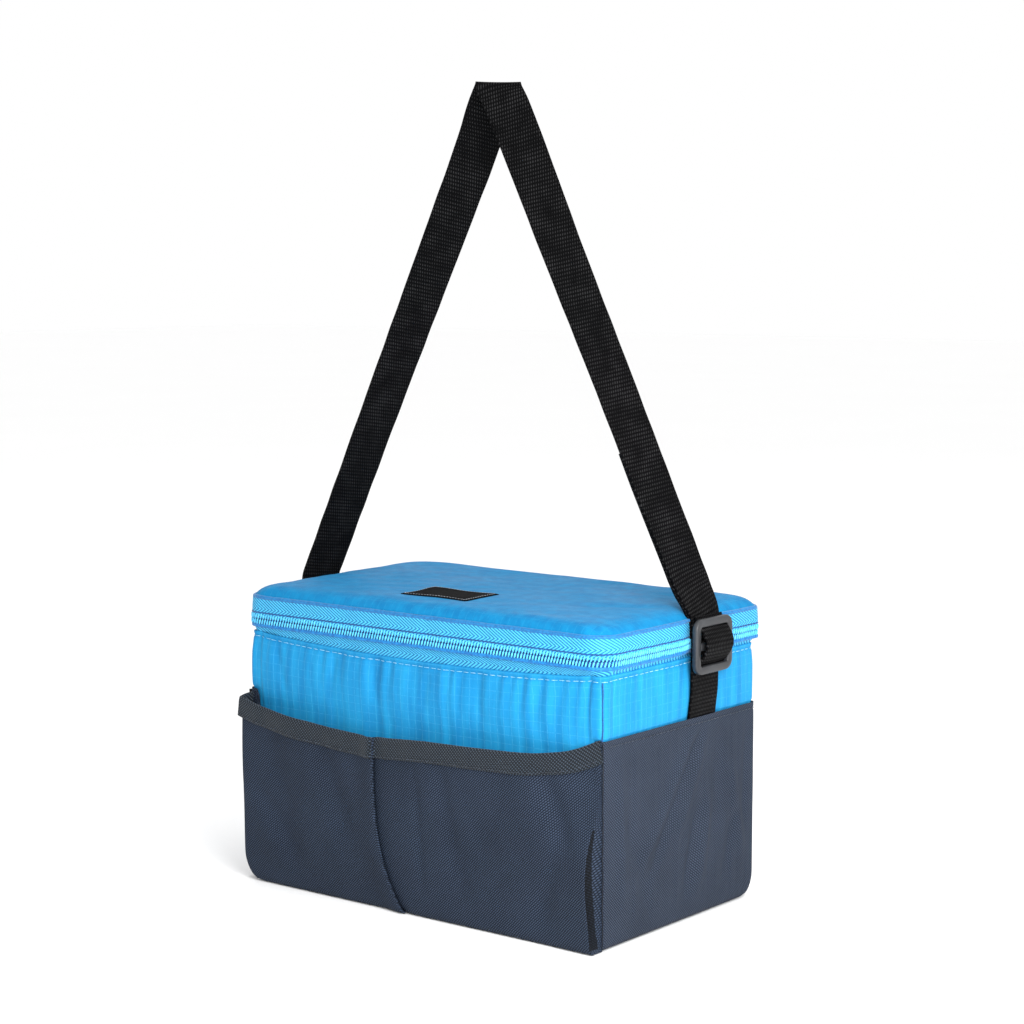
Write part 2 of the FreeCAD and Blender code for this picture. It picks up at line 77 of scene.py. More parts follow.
LINER_LOW, LINER_HIGH = node_box("liner_tub")

RIM_SAG = 4.7
SAG_HALF_WIDE = 117.0
SLIDER_ROOM = 1.6
LID_TAPE_Z = 159.6
LINING_Z = 158.9
STITCH_Z = RIM - 2.4
HEM_STITCH_Z = HEM - 3.0
STITCH_PITCH = 3.2
STRAP_WIDE = ANCHOR_HIGH[1] - ANCHOR_LOW[1]
STRAP_THICK = 1.4
STRAP_Y = (ANCHOR_HIGH[1] + ANCHOR_LOW[1]) / 2
GLIDE_Z = (GLIDE_LOW[2] + GLIDE_HIGH[2]) / 2


# ---- mesh helpers --------------------------------------------------------------------------------


def smooth(value, start, end):
    """0 before start, 1 after end, and an even ease between them."""
    t = np.clip((np.asarray(value, float) - start) / (end - start), 0.0, 1.0)
    return t * t * (3 - 2 * t)


def bump_at(value, centre, width):
    """A round bump of height 1 about centre."""
    return np.exp(-((np.asarray(value, float) - centre) / width) ** 2)


def ripple(value, seed, shortest, longest, count=7):
    """An uneven wave of about unit height, the same each run."""
    random = np.random.RandomState(seed)
    total = np.zeros_like(np.asarray(value, float))
    for _ in range(count):
        length = random.uniform(shortest, longest)
        phase = random.uniform(0, 2 * math.pi)
        total += np.sin(2 * math.pi * value / length + phase)
    return total / math.sqrt(count)


def new_object(name, mesh, material):
    item = bpy.data.objects.new(name, mesh)
    bpy.context.scene.collection.objects.link(item)
    item.data.materials.append(material)
    return item


def grid_faces(count_u, count_v, closed):
    """Quads of a grid whose points run v fastest."""
    u = np.arange(count_u if closed else count_u - 1)
    v = np.arange(count_v - 1)
    uu, vv = np.meshgrid(u, v, indexing="ij")
    next_u = (uu + 1) % count_u
    a = uu * count_v + vv
    b = next_u * count_v + vv
    return np.stack([a, b, b + 1, a + 1], axis=-1).reshape(-1, 4)


def grid(name, points, cloth, material, closed=False, thick=0.0, wrap=True, cap=False):
    """A sheet through points[u, v] in mm. cloth[u, v] is where each point lies on the flat cloth, in mm.

    wrap runs the cloth on round a closed ring; cap fills the first ring."""
    count_u, count_v = points.shape[:2]
    faces = grid_faces(count_u, count_v, closed)
    mesh = bpy.data.meshes.new(name)
    rows = faces.tolist()
    if cap:
        rows.append([u * count_v for u in range(count_u)][::-1])
    mesh.from_pydata((points.reshape(-1, 3) * MM).tolist(), [], rows)
    layer = mesh.uv_layers.new(name="cloth")
    flat = cloth.reshape(-1, 2)
    corner = flat[faces.reshape(-1)].copy()
    if closed and wrap:
        seam = faces.reshape(-1, 4)[:, 0] // count_v == count_u - 1
        lap = flat[:count_v, 0].mean() + closed_length(points)
        corner = corner.reshape(-1, 4, 2)
        corner[seam, 1, 0] = lap
        corner[seam, 2, 0] = lap
        corner = corner.reshape(-1, 2)
    if cap:
        corner = np.concatenate([corner, flat[rows[-1]]])
    layer.data.foreach_set("uv", corner.astype(np.float32).ravel())
    mesh.polygons.foreach_set("use_smooth", np.full(len(rows), True))
    mesh.update()
    item = new_object(name, mesh, material)
    if thick:
        solid = item.modifiers.new("thickness", "SOLIDIFY")
        solid.thickness = thick * MM
        solid.offset = -1
    return item


def closed_length(points):
    ring = points[:, points.shape[1] // 2]
    return np.linalg.norm(np.roll(ring, -1, axis=0) - ring, axis=1).sum()


def joined(name, meshes, material):
    """One piece out of many small ones, each a (vertices, faces) pair in mm."""
    vertices, faces, start = [], [], 0
    for points, quads in meshes:
        vertices.append(points)
        faces.extend([[index + start for index in face] for face in quads])
        start += len(points)
    mesh = bpy.data.meshes.new(name)
    mesh.from_pydata((np.concatenate(vertices) * MM).tolist(), [], faces)
    mesh.polygons.foreach_set("use_smooth", np.full(len(faces), True))
    mesh.update()
    return new_object(name, mesh, material)


def sweep(path, across, outward, section, closed):
    """Points and faces of a section, given as (across, outward) pairs in mm, carried along a path."""
    section = np.asarray(section, float)
    count = len(section)
    points = (path[:, None, :] + section[None, :, :1] * across[:, None, :]
              + section[None, :, 1:] * outward[:, None, :])
    rows = len(path) if closed else len(path) - 1
    faces = []
    for row in range(rows):
        after = (row + 1) % len(path)
        for k in range(count):
            nxt = (k + 1) % count
            faces.append([row * count + k, row * count + nxt, after * count + nxt, after * count + k])
    if not closed:
        faces.append([k for k in range(count)][::-1])
        faces.append([(len(path) - 1) * count + k for k in range(count)])
    return points.reshape(-1, 3), faces


def round_section(wide, tall, count=10, power=2.0):
    """A superellipse: 2 is round, 4 is a box with soft corners."""
    angle = np.arange(count) * 2 * math.pi / count
    x = np.sign(np.cos(angle)) * np.abs(np.cos(angle)) ** (2 / power) * wide / 2
    y = np.sign(np.sin(angle)) * np.abs(np.sin(angle)) ** (2 / power) * tall / 2
    return np.stack([x, y], axis=1)


def capsule(centre, along, side, out, long, wide, tall):
    """A small bead with a long axis, for stitches and coil teeth."""
    rings = [(-0.5, 0.35), (-0.32, 0.9), (0.0, 1.0), (0.32, 0.9), (0.5, 0.35)]
    section = round_section(1.0, 1.0, 6)
    points = []
    for place, scale in rings:
        for a, b in section:
            points.append(centre + along * (place * long) + side * (a * wide * scale)
                          + out * (b * tall * scale))
    faces = []
    for ring in range(len(rings) - 1):
        for k in range(6):
            nxt = (k + 1) % 6
            faces.append([ring * 6 + k, ring * 6 + nxt, ring * 6 + 6 + nxt, ring * 6 + 6 + k])
    faces.append(list(range(6))[::-1])
    faces.append([24 + k for k in range(6)])
    return np.array(points), faces


# ---- outlines ------------------------------------------------------------------------------------


def outline(half_x, half_y, radius, straight_x=150, straight_y=80, arc=16):
    """Points, outward normals and running length round a rounded rectangle.

    radius is (back corners, front corners). It starts at the middle of the back and goes left,
    along the front and back by the right."""
    back, front = radius
    points, normals = [], []

    def line(start, end, count, normal):
        for k in range(count):
            t = k / count
            points.append([start[0] + (end[0] - start[0]) * t, start[1] + (end[1] - start[1]) * t])
            normals.append(normal)

    def corner(side_x, side_y, size, first):
        centre = (side_x * (half_x - size), side_y * (half_y - size))
        for k in range(arc):
            angle = math.radians(first + 90 * k / arc)
            normal = [math.cos(angle), math.sin(angle)]
            points.append([centre[0] + size * normal[0], centre[1] + size * normal[1]])
            normals.append(normal)

    line((0, half_y), (back - half_x, half_y), straight_x // 2, [0, 1])
    corner(-1, 1, back, 90)
    line((-half_x, half_y - back), (-half_x, front - half_y), straight_y, [-1, 0])
    corner(-1, -1, front, 180)
    line((front - half_x, -half_y), (half_x - front, -half_y), straight_x, [0, -1])
    corner(1, -1, front, 270)
    line((half_x, front - half_y), (half_x, half_y - back), straight_y, [1, 0])
    corner(1, 1, back, 0)
    line((half_x - back, half_y), (0, half_y), straight_x // 2, [0, 1])
    points = np.array(points)
    steps = np.linalg.norm(np.roll(points, -1, axis=0) - points, axis=1)
    run = np.concatenate([[0.0], np.cumsum(steps)[:-1]])
    return points, np.array(normals), run


def walls(levels, size, push=None, **counts):
    """Rings at each level. size(level) gives (half x, half y, back radius, front radius);
    push(points, normals, level) moves them out along their normals."""
    rings, cloth = [], []
    run = None
    for level in levels:
        half_x, half_y, back, front = size(level)
        points, normals, steps = outline(half_x, half_y, (back, front), **counts)
        run = steps if run is None else run
        out = push(points, normals, level) if push else np.zeros(len(points))
        rings.append(np.column_stack([points + normals * out[:, None], np.full(len(points), level)]))
        cloth.append(np.column_stack([run, np.full(len(points), level)]))
    return np.stack(rings, axis=1), np.stack(cloth, axis=1)


def even_steps(path, pitch):
    """A polyline taken again at even steps: its points and directions."""
    steps = np.linalg.norm(np.diff(path, axis=0), axis=1)
    run = np.concatenate([[0.0], np.cumsum(steps)])
    count = max(2, int(round(run[-1] / pitch)))
    places = (np.arange(count) + 0.5) * run[-1] / count
    points = np.column_stack([np.interp(places, run, path[:, k]) for k in range(path.shape[1])])
    ahead = np.column_stack([np.interp(places + 0.2, run, path[:, k]) for k in range(path.shape[1])])
    behind = np.column_stack([np.interp(places - 0.2, run, path[:, k]) for k in range(path.shape[1])])
    along = ahead - behind
    return points, along / np.linalg.norm(along, axis=1)[:, None]


UP = np.array([0.0, 0.0, 1.0])


def stitches(name, paths, material, pitch=STITCH_PITCH, lift=0.25, wide=0.42):
    """Dashes of thread along paths that carry their own outward normals: (points, normals) pairs."""
    beads = []
    for path, normals in paths:
        places, along = even_steps(path, pitch)
        steps = np.linalg.norm(np.diff(path, axis=0), axis=1)
        run = np.concatenate([[0.0], np.cumsum(steps)])
        at = (np.arange(len(places)) + 0.5) * run[-1] / len(places)
        out = np.column_stack([np.interp(at, run, normals[:, k]) for k in range(3)])
        out /= np.linalg.norm(out, axis=1)[:, None]
        side = np.cross(along, out)
        for k in range(len(places)):
            beads.append(capsule(places[k] + out[k] * lift, along[k], side[k], out[k],
                                 pitch * 0.74, wide, wide * 0.8))
    return joined(name, beads, material)


# ---- materials -----------------------------------------------------------------------------------


class Shader:
    """A principled material whose colour, roughness and bump come from nodes."""

    def __init__(self, name, roughness=0.7, sheen=0.0, specular=0.3, metallic=0.0):
        self.material = bpy.data.materials.new(name)
        self.material.use_nodes = True
        self.tree = self.material.node_tree
        self.tree.nodes.clear()
        self.surface = self.tree.nodes.new("ShaderNodeBsdfPrincipled")
        output = self.tree.nodes.new("ShaderNodeOutputMaterial")
        self.tree.links.new(self.surface.outputs[0], output.inputs[0])
        self.surface.inputs["Roughness"].default_value = roughness
        self.surface.inputs["Sheen Weight"].default_value = sheen
        self.surface.inputs["Sheen Roughness"].default_value = 0.4
        self.surface.inputs["Specular IOR Level"].default_value = specular
        self.surface.inputs["Metallic"].default_value = metallic

    def node(self, kind, **settings):
        made = self.tree.nodes.new(kind)
        for name, value in settings.items():
            setattr(made, name, value)
        return made

    def feed(self, socket, value):
        if hasattr(value, "is_output"):
            self.tree.links.new(value, socket)
        else:
            socket.default_value = value

    def math(self, operation, first, second=0.0, third=0.0):
        made = self.node("ShaderNodeMath", operation=operation)
        for socket, value in zip(made.inputs, (first, second, third)):
            self.feed(socket, value)
        return made.outputs[0]

    def cloth(self):
        """The place on the flat cloth, in mm along and up."""
        place = self.node("ShaderNodeUVMap", uv_map="cloth")
        split = self.node("ShaderNodeSeparateXYZ")
        self.tree.links.new(place.outputs[0], split.inputs[0])
        return split.outputs[0], split.outputs[1]

    def space(self):
        return self.node("ShaderNodeTexCoord").outputs["Object"]

    def noise(self, scale, detail=3.0, rough=0.55, vector=None):
        made = self.node("ShaderNodeTexNoise")
        self.feed(made.inputs["Vector"], vector if vector is not None else self.space())
        made.inputs["Scale"].default_value = scale
        made.inputs["Detail"].default_value = detail
        made.inputs["Roughness"].default_value = rough
        return made.outputs["Fac"]

    def span(self, value, low, high, to_low=0.0, to_high=1.0):
        made = self.node("ShaderNodeMapRange", interpolation_type="SMOOTHSTEP")
        for socket, number in zip(made.inputs, (value, low, high, to_low, to_high)):
            self.feed(socket, number)
        return made.outputs[0]

    def wave(self, value, period):
        """0 to 1 and back over each period."""
        turns = self.math("MULTIPLY", value, 2 * math.pi / period)
        return self.math("MULTIPLY_ADD", self.math("SINE", turns), 0.5, 0.5)

    def mix(self, factor, first, second):
        made = self.node("ShaderNodeMix", data_type="RGBA")
        self.feed(made.inputs["Factor"], factor)
        self.feed(made.inputs["A"], first)
        self.feed(made.inputs["B"], second)
        return made.outputs["Result"]

    def finish(self, colour=None, height=None, depth=0.2, roughness=None):
        """depth is the relief in mm."""
        if colour is not None:
            self.feed(self.surface.inputs["Base Color"], colour)
        if roughness is not None:
            self.feed(self.surface.inputs["Roughness"], roughness)
        if height is not None:
            bump = self.node("ShaderNodeBump")
            bump.inputs["Strength"].default_value = 1.0
            bump.inputs["Distance"].default_value = depth * MM
            self.feed(bump.inputs["Height"], height)
            self.tree.links.new(bump.outputs[0], self.surface.inputs["Normal"])
        return self.material


def rgb(red, green, blue):
    """A colour as screens show it, turned into the linear values that shaders take."""
    def linear(c):
        c = c / 255
        return c / 12.92 if c <= 0.04045 else ((c + 0.055) / 1.055) ** 2.4
    return (linear(red), linear(green), linear(blue), 1.0)


def twill(name, dark, light, lean=1.0, pitch=1.15):
    """Heavy polyester twill: slanted ribs broken into short floats."""
    s = Shader(name, roughness=0.8, sheen=0.0, specular=0.15)
    along, up = s.cloth()
    wobble = s.math("MULTIPLY", s.math("SUBTRACT", s.noise(220.0), 0.5), 0.35)
    across = s.math("SUBTRACT", along, s.math("MULTIPLY", up, lean))
    across = s.math("ADD", s.math("MULTIPLY", across, 0.7071), wobble)
    down = s.math("MULTIPLY", s.math("ADD", along, s.math("MULTIPLY", up, lean)), 0.7071)
    row = s.math("FLOOR", s.math("DIVIDE", across, pitch))
    down = s.math("ADD", down, s.math("MULTIPLY", row, pitch * 0.62))
    rib = s.math("POWER", s.math("ABSOLUTE", s.math("SINE", s.math("MULTIPLY", across, math.pi / pitch))),
                 0.8)
    float_ = s.wave(down, pitch * 1.25)
    height = s.math("MULTIPLY", rib, s.math("MULTIPLY_ADD", float_, 0.45, 0.55))
    fuzz = s.noise(2600.0, 2.0)
    patch = s.noise(28.0, 4.0)
    tone = s.math("ADD", s.math("MULTIPLY", height, 0.8),
                  s.math("MULTIPLY", s.math("SUBTRACT", fuzz, 0.5), 0.5))
    tone = s.math("ADD", tone, s.math("MULTIPLY", s.math("SUBTRACT", patch, 0.5), 0.22))
    colour = s.mix(s.span(tone, 0.12, 0.95), dark, light)
    rough = s.span(fuzz, 0.3, 0.7, 0.7, 0.88)
    return s.finish(colour, height, depth=0.28, roughness=rough)


def ripstop(name, base, bright, shade, tall_cell=5.2, wide_cell=4.8):
    """Light plain weave with a raised grid of thicker threads."""
    s = Shader(name, roughness=0.62, sheen=0.02, specular=0.1)
    along, up = s.cloth()
    weave = s.math("MULTIPLY", s.wave(along, 0.42), s.wave(up, 0.42))

    def threads(value, cell, width):
        place = s.math("ABSOLUTE", s.math("SUBTRACT", s.math("FRACT", s.math("DIVIDE", value, cell)), 0.5))
        return s.span(s.math("MULTIPLY", place, cell), width * 0.35, width, 1.0, 0.0)

    broken = s.span(s.noise(900.0, 2.0), 0.36, 0.66)
    bars = s.math("MAXIMUM", threads(along, wide_cell, 0.34),
                  s.math("MULTIPLY", threads(up, tall_cell, 0.32), 0.75))
    bars = s.math("MULTIPLY", bars, s.math("MULTIPLY_ADD", broken, 0.7, 0.3))
    streak = s.node("ShaderNodeMapping")
    streak.inputs["Scale"].default_value = (1.0, 1.0, 0.12)
    s.tree.links.new(s.space(), streak.inputs["Vector"])
    tone = s.noise(150.0, 4.0, vector=streak.outputs[0])
    cloud = s.noise(22.0, 3.0)
    colour = s.mix(s.span(tone, 0.3, 0.72), shade, base)
    colour = s.mix(s.math("MULTIPLY", s.span(cloud, 0.35, 0.7), 0.35), colour, base)
    colour = s.mix(s.math("MULTIPLY", bars, 0.2), colour, bright)
    height = s.math("ADD", s.math("MULTIPLY", weave, 0.35), s.math("MULTIPLY", bars, 0.9))
    rough = s.span(cloud, 0.3, 0.7, 0.54, 0.68)
    return s.finish(colour, height, depth=0.07, roughness=rough)


def herringbone(name, dark, light, centre, half):
    """Zipper tape: fine slanted ribs that meet in a point along the middle of the tape."""
    s = Shader(name, roughness=0.55, sheen=0.05, specular=0.22)
    along, up = s.cloth()
    away = s.math("ABSOLUTE", s.math("SUBTRACT", up, centre))
    slant = s.math("ADD", along, s.math("MULTIPLY", away, 1.7))
    rib = s.wave(slant, 2.7)
    edge = s.span(away, half * 0.86, half, 1.0, 0.6)
    fuzz = s.noise(1800.0, 2.0)
    tone = s.math("MULTIPLY", s.math("ADD", s.math("MULTIPLY", rib, 0.8), s.math("MULTIPLY", fuzz, 0.35)),
                  edge)
    colour = s.mix(s.span(tone, 0.1, 0.95), dark, light)
    return s.finish(colour, rib, depth=0.3)


def webbing(name, dark, light, row=2.2, grain=1.5):
    """Strapping: rows of slanted grains, each row half a grain on from the last. The colour follows the grain
    height: a painted highlight on the tops, painted shade in the gaps.
    """
    s = Shader(name, roughness=0.65, sheen=0.0, specular=0.06)
    across, along = s.cloth()
    wobble = s.math("MULTIPLY", s.math("SUBTRACT", s.noise(420.0), 0.5), 0.5)
    drift = s.math("ADD", along, wobble)
    index = s.math("FLOOR", s.math("DIVIDE", drift, row))
    inside = s.math("SUBTRACT", s.math("FRACT", s.math("DIVIDE", drift, row)), 0.5)
    place = s.math("ADD", across, s.math("MULTIPLY", index, grain * 0.5))
    place = s.math("ADD", place, s.math("MULTIPLY", inside, grain * 0.5))
    ridge = s.math("COSINE", s.math("MULTIPLY", inside, math.pi))
    body = s.math("ABSOLUTE", s.math("SINE", s.math("MULTIPLY", place, math.pi / grain)))
    height = s.math("MULTIPLY", s.math("POWER", ridge, 0.9), s.math("POWER", body, 1.3))
    patches = s.math("SUBTRACT", s.noise(90.0, 2.0), 0.5)
    fuzz = s.math("ADD", s.math("MULTIPLY", s.noise(1500.0, 2.0), 0.5), patches)
    tone = s.math("ADD", height, s.math("SUBTRACT", fuzz, 0.25))
    # grain tops take the light colour as a painted highlight, the gaps the dark colour as painted shade
    colour = s.mix(s.span(tone, 0.4, 1.2), dark, light)
    return s.finish(colour, height, depth=0.5)


def coarse_tape(name, dark, light):
    """Woven binding: a coarse basket of small raised cells."""
    s = Shader(name, roughness=0.75, sheen=0.1, specular=0.25)
    along, up = s.cloth()
    wobble = s.math("MULTIPLY", s.math("SUBTRACT", s.noise(350.0), 0.5), 0.5)
    first = s.math("ADD", s.math("ADD", along, up), wobble)
    second = s.math("SUBTRACT", s.math("SUBTRACT", along, up), wobble)
    cells = s.math("MULTIPLY", s.wave(first, 2.1), s.wave(second, 1.7))
    fuzz = s.noise(2600.0, 2.0)
    tone = s.math("ADD", cells, s.math("MULTIPLY", s.math("SUBTRACT", fuzz, 0.5), 0.5))
    colour = s.mix(s.span(tone, 0.1, 0.85), dark, light)
    return s.finish(colour, cells, depth=0.4)


def plastic(name, dark, light, roughness=0.42):
    """Moulded plastic with a faint grain and rubbed high spots."""
    s = Shader(name, roughness=roughness, specular=0.5)
    grain = s.noise(900.0, 3.0)
    cloud = s.noise(60.0, 4.0)
    colour = s.mix(s.span(cloud, 0.3, 0.75), dark, light)
    rough = s.span(cloud, 0.3, 0.7, roughness - 0.07, roughness + 0.1)
    return s.finish(colour, grain, depth=0.03, roughness=rough)


def thread(name, dark, light):
    s = Shader(name, roughness=0.6, sheen=0.2, specular=0.35)
    colour = s.mix(s.span(s.noise(700.0, 2.0), 0.35, 0.65), dark, light)
    return s.finish(colour, s.noise(4200.0, 1.0), depth=0.05)


def foil(name, base, shade):
    """Silvered liner film with soft creases."""
    s = Shader(name, roughness=0.34, specular=0.6, metallic=0.55)
    crease = s.noise(45.0, 5.0, 0.65)
    fine = s.noise(240.0, 3.0)
    colour = s.mix(s.span(crease, 0.35, 0.65), shade, base)
    height = s.math("ADD", crease, s.math("MULTIPLY", fine, 0.2))
    rough = s.span(fine, 0.3, 0.7, 0.28, 0.42)
    return s.finish(colour, height, depth=1.2, roughness=rough)


def foam_material(name, base, shade):
    s = Shader(name, roughness=0.9, specular=0.2)
    cells = s.node("ShaderNodeTexVoronoi")
    cells.inputs["Scale"].default_value = 900.0
    s.tree.links.new(s.space(), cells.inputs["Vector"])
    colour = s.mix(s.span(cells.outputs["Distance"], 0.1, 0.6), shade, base)
    return s.finish(colour, cells.outputs["Distance"], depth=0.25)


def patch_weave(name, dark, light):
    """The label's fine damask weave, left blank."""
    s = Shader(name, roughness=0.85, sheen=0.0, specular=0.05)
    along, up = s.cloth()
    weave = s.math("MULTIPLY", s.wave(along, 0.5), s.wave(up, 0.38))
    colour = s.mix(s.span(s.math("ADD", weave, s.math("MULTIPLY", s.noise(1500.0), 0.4)), 0.2, 1.2), dark,
                   light)
    return s.finish(colour, weave, depth=0.08)


BLUE = ripstop("blue_ripstop", rgb(32, 143, 196), rgb(96, 190, 228), rgb(22, 122, 178))
LID_BLUE = ripstop("lid_ripstop", rgb(14, 128, 180), rgb(56, 158, 206), rgb(8, 108, 162))
BACK_BLUE = ripstop("hinge_ripstop", rgb(26, 134, 188), rgb(70, 168, 212), rgb(16, 112, 168))
NAVY = twill("navy_twill", rgb(7, 12, 20), rgb(60, 73, 94))
# lighter copy of the twill for the end panels, ribs leaning the other way: the lighter colour is painted
# sheen
NAVY_END_SHEEN = twill("navy_twill_ends_painted_sheen", rgb(16, 22, 32), rgb(68, 78, 96), lean=-1.0)
# near-black copy of the twill: painted shade for the fold beside the pocket's front edge
NAVY_FOLD_SHADE = twill("navy_twill_painted_fold_shade", rgb(4, 6, 9), rgb(24, 30, 40), lean=-1.0)
NAVY_FLAT = twill("navy_twill_under", rgb(20, 27, 38), rgb(58, 68, 86))
BINDING = coarse_tape("pocket_binding_weave", rgb(12, 18, 25), rgb(62, 75, 88))
GREY_TAPE = coarse_tape("inner_binding_weave", rgb(70, 76, 84), rgb(140, 146, 152))
UPPER_TAPE = herringbone("upper_tape_weave", rgb(10, 104, 164), rgb(78, 190, 232),
                         HINGE + 6.6, 6.0)
LOWER_TAPE = herringbone("lower_tape_weave", rgb(10, 104, 164), rgb(78, 190, 232), HINGE - 8.4, 9.0)
PIPING_CLOTH = thread("piping_cloth", rgb(16, 100, 158), rgb(24, 118, 178))
WELT = thread("zipper_welt_cloth", rgb(6, 96, 162), rgb(16, 124, 190))
COIL = thread("coil_nylon", rgb(72, 178, 226), rgb(96, 200, 240))
# near-black thread: painted shade along seams
SEAM_SHADE_THREAD = thread("seam_shadow_thread", rgb(12, 15, 22), rgb(24, 29, 38))
# dark blue cord: painted shade between coil teeth and along the seams by the zipper and piping
SHADE_CORD = thread("coil_core_and_seam_shade_cord", rgb(2, 58, 112), rgb(4, 80, 146))
BLUE_THREAD = thread("blue_thread", rgb(96, 176, 214), rgb(160, 212, 234))
NAVY_THREAD = thread("navy_thread", rgb(22, 28, 38), rgb(52, 62, 78))
GREY_THREAD = thread("grey_thread", rgb(120, 124, 130), rgb(176, 180, 186))
# black webbing; its lighter grey is a painted highlight on the grain tops
STRAP = webbing("black_webbing", rgb(1, 1, 2), rgb(44, 44, 45))
PLASTIC = plastic("glide_plastic", rgb(38, 39, 42), rgb(54, 56, 59))
METAL = plastic("painted_zipper_metal", rgb(24, 96, 158), rgb(44, 128, 190), roughness=0.32)
LABEL = patch_weave("label_weave", rgb(5, 5, 6), rgb(24, 24, 27))
FOIL = foil("silver_liner", rgb(226, 229, 232), rgb(176, 182, 188))
FOAM = foam_material("foam", rgb(236, 236, 230), rgb(196, 196, 190))


# ---- shared shapes -------------------------------------------------------------------------------


def place(item, body, slot, nodes=()):
    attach(item, body)
    if nodes:
        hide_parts(*nodes)
    return item


def crease(along, up, start, end, width, depth):
    """A soft valley (or ridge, with depth below 0) along a segment, fading at its ends."""
    run = np.array(end, float) - np.array(start, float)
    long = np.linalg.norm(run)
    run /= long
    ahead = (along - start[0]) * run[0] + (up - start[1]) * run[1]
    aside = -(along - start[0]) * run[1] + (up - start[1]) * run[0]
    fade = smooth(ahead, -0.1 * long, 0.25 * long) * (1 - smooth(ahead, 0.7 * long, 1.1 * long))
    return -depth * fade * np.exp(-(aside / width) ** 2)


def faced(item, test, material):
    """Give the faces whose centre and normal pass the test a second material."""
    item.data.materials.append(material)
    index = len(item.data.materials) - 1
    for face in item.data.polygons:
        if test(face.center / MM, face.normal):
            face.material_index = index


def spline(stations, count):
    """A smooth curve through stations: Catmull-Rom, by running length."""
    stations = np.asarray(stations, float)
    ends = np.concatenate([[2 * stations[0] - stations[1]], stations, [2 * stations[-1] - stations[-2]]])
    points = []
    for k in range(1, len(ends) - 2):
        p0, p1, p2, p3 = ends[k - 1:k + 3]
        for t in np.linspace(0, 1, 40, endpoint=False):
            points.append(0.5 * (2 * p1 + (p2 - p0) * t + (2 * p0 - 5 * p1 + 4 * p2 - p3) * t ** 2
                                 + (3 * p1 - p0 - 3 * p2 + p3) * t ** 3))
    points.append(ends[-2])
    points = np.array(points)
    steps = np.linalg.norm(np.diff(points[:, :3], axis=0), axis=1)
    run = np.concatenate([[0.0], np.cumsum(steps)])
    keep = np.concatenate([[True], np.diff(run) > 1e-6])
    at = np.linspace(0, run[-1], count)
    return np.column_stack([np.interp(at, run[keep], points[keep, k]) for k in range(points.shape[1])])


# ---- outer cloth of the bag ----------------------------------------------------------------------


def lower_size(level):
    return HALF_X + 1.3, HALF_Y + 1.3, 3.2, 3.2


def lower_push(points, normals, level):
    x, y = points.T
    right = smooth(normals[:, 0], 0.7, 1.0)
    left = smooth(-normals[:, 0], 0.7, 1.0)
    front = smooth(-normals[:, 1], 0.7, 1.0)
    rear = smooth(normals[:, 1], 0.7, 1.0)
    z = np.full_like(y, level)
    end = (crease(y, z, (12, 106), (-42, 34), 3.8, -2.2) + crease(y, z, (19, 106), (-34, 26), 3.4, 2.4)
           + crease(y, z, (22, 100), (-8, 44), 3.4, -1.6) + crease(y, z, (16, 66), (2, 10), 4.2, 2.4)
           + crease(y, z, (26, 70), (14, 12), 4.0, -1.9) + crease(y, z, (34, 98), (30, 30), 6.0, 1.5)
           + crease(y, z, (46, 82), (60, 22), 4.4, -1.6) + crease(y, z, (52, 56), (40, 14), 4.0, 1.6)
           + crease(y, z, (-58, 100), (-54, 20), 4.0, -1.5) + crease(y, z, (-52, 70), (-30, 10), 4.4, 1.3)
           + crease(y, z, (64, 100), (60, 40), 3.4, 1.2))
    end = end + 1.0 * np.sin(math.pi * level / HEM) * np.cos(math.pi * y / 2 / HALF_Y)
    end = end + 1.7 * bump_at(y, STRAP_Y, 13.5) * smooth(level, 92, 108)
    fade = smooth(level, 2, 16) * (1 - smooth(level, 98, 108))
    out = (right + left) * (end * (0.35 + 0.65 * fade)) * smooth(level, 1, 8)
    broad = 0.8 * np.sin(math.pi * level / HEM)
    rear_dents = crease(x, z, (-90, 96), (-58, 20), 6, 1.1) + crease(x, z, (80, 88), (46, 24), 6, 1.0)
    out += rear * (broad + rear_dents + 0.2 * ripple(x + 0.6 * level, 5, 40, 90))
    out += front * 0.3 * broad
    tuck = bump_at(level, HEM_STITCH_Z, 0.8)
    return out - 0.35 * tuck + 0.12 * ripple(points[:, 0] + points[:, 1] * 1.7, 3, 6, 17) * fade


LOWER_LEVELS = np.concatenate([[0.25, 0.6, 1.2, 2.0, 3.0, 4.2, 5.6, 7.2, 9.0, 11.0, 13.5],
                               np.arange(16, 100, 1.7),
                               np.arange(100, HEM - 0.2, 0.55), [HEM, HEM + 0.5]])
points, cloth = walls(LOWER_LEVELS, lower_size, lower_push)
tucked = points[:, -1:].copy()
inward = tucked[:, 0, :2] / np.linalg.norm(tucked[:, 0, :2], axis=1)[:, None]
tucked[:, 0, :2] -= inward * 0.9
tucked[:, 0, 2] -= 0.3
deeper = tucked.copy()
deeper[:, 0, 2] -= 7.0
points = np.concatenate([points, tucked, deeper], axis=1)
FRONT_HEM = 87.0


def front_share(points):
    """1 along the front, behind the pocket, and 0 from the front corners on."""
    x, y = points[..., 0], points[..., 1]
    return smooth(-y, HALF_Y - 4, HALF_Y - 2) * (1 - smooth(np.abs(x), HALF_X - 9, HALF_X - 4))


def rounded_foot(points):
    """Draw the bottom edge in: a small round along the sides and a large one at the back corners."""
    x, y, z = points[..., 0], points[..., 1], points[..., 2]
    insets = []
    for foot in (4.0 + 0.0 * z, 4.0 + 9.5 * smooth(y, 40, 66)):
        low = np.clip(foot - z, 0, foot)
        insets.append(foot - np.sqrt(np.maximum(foot ** 2 - low ** 2, 0)))
    points[..., 0] = x * (1 - insets[0] / HALF_X)
    points[..., 1] = y * (1 - insets[1] / HALF_Y)


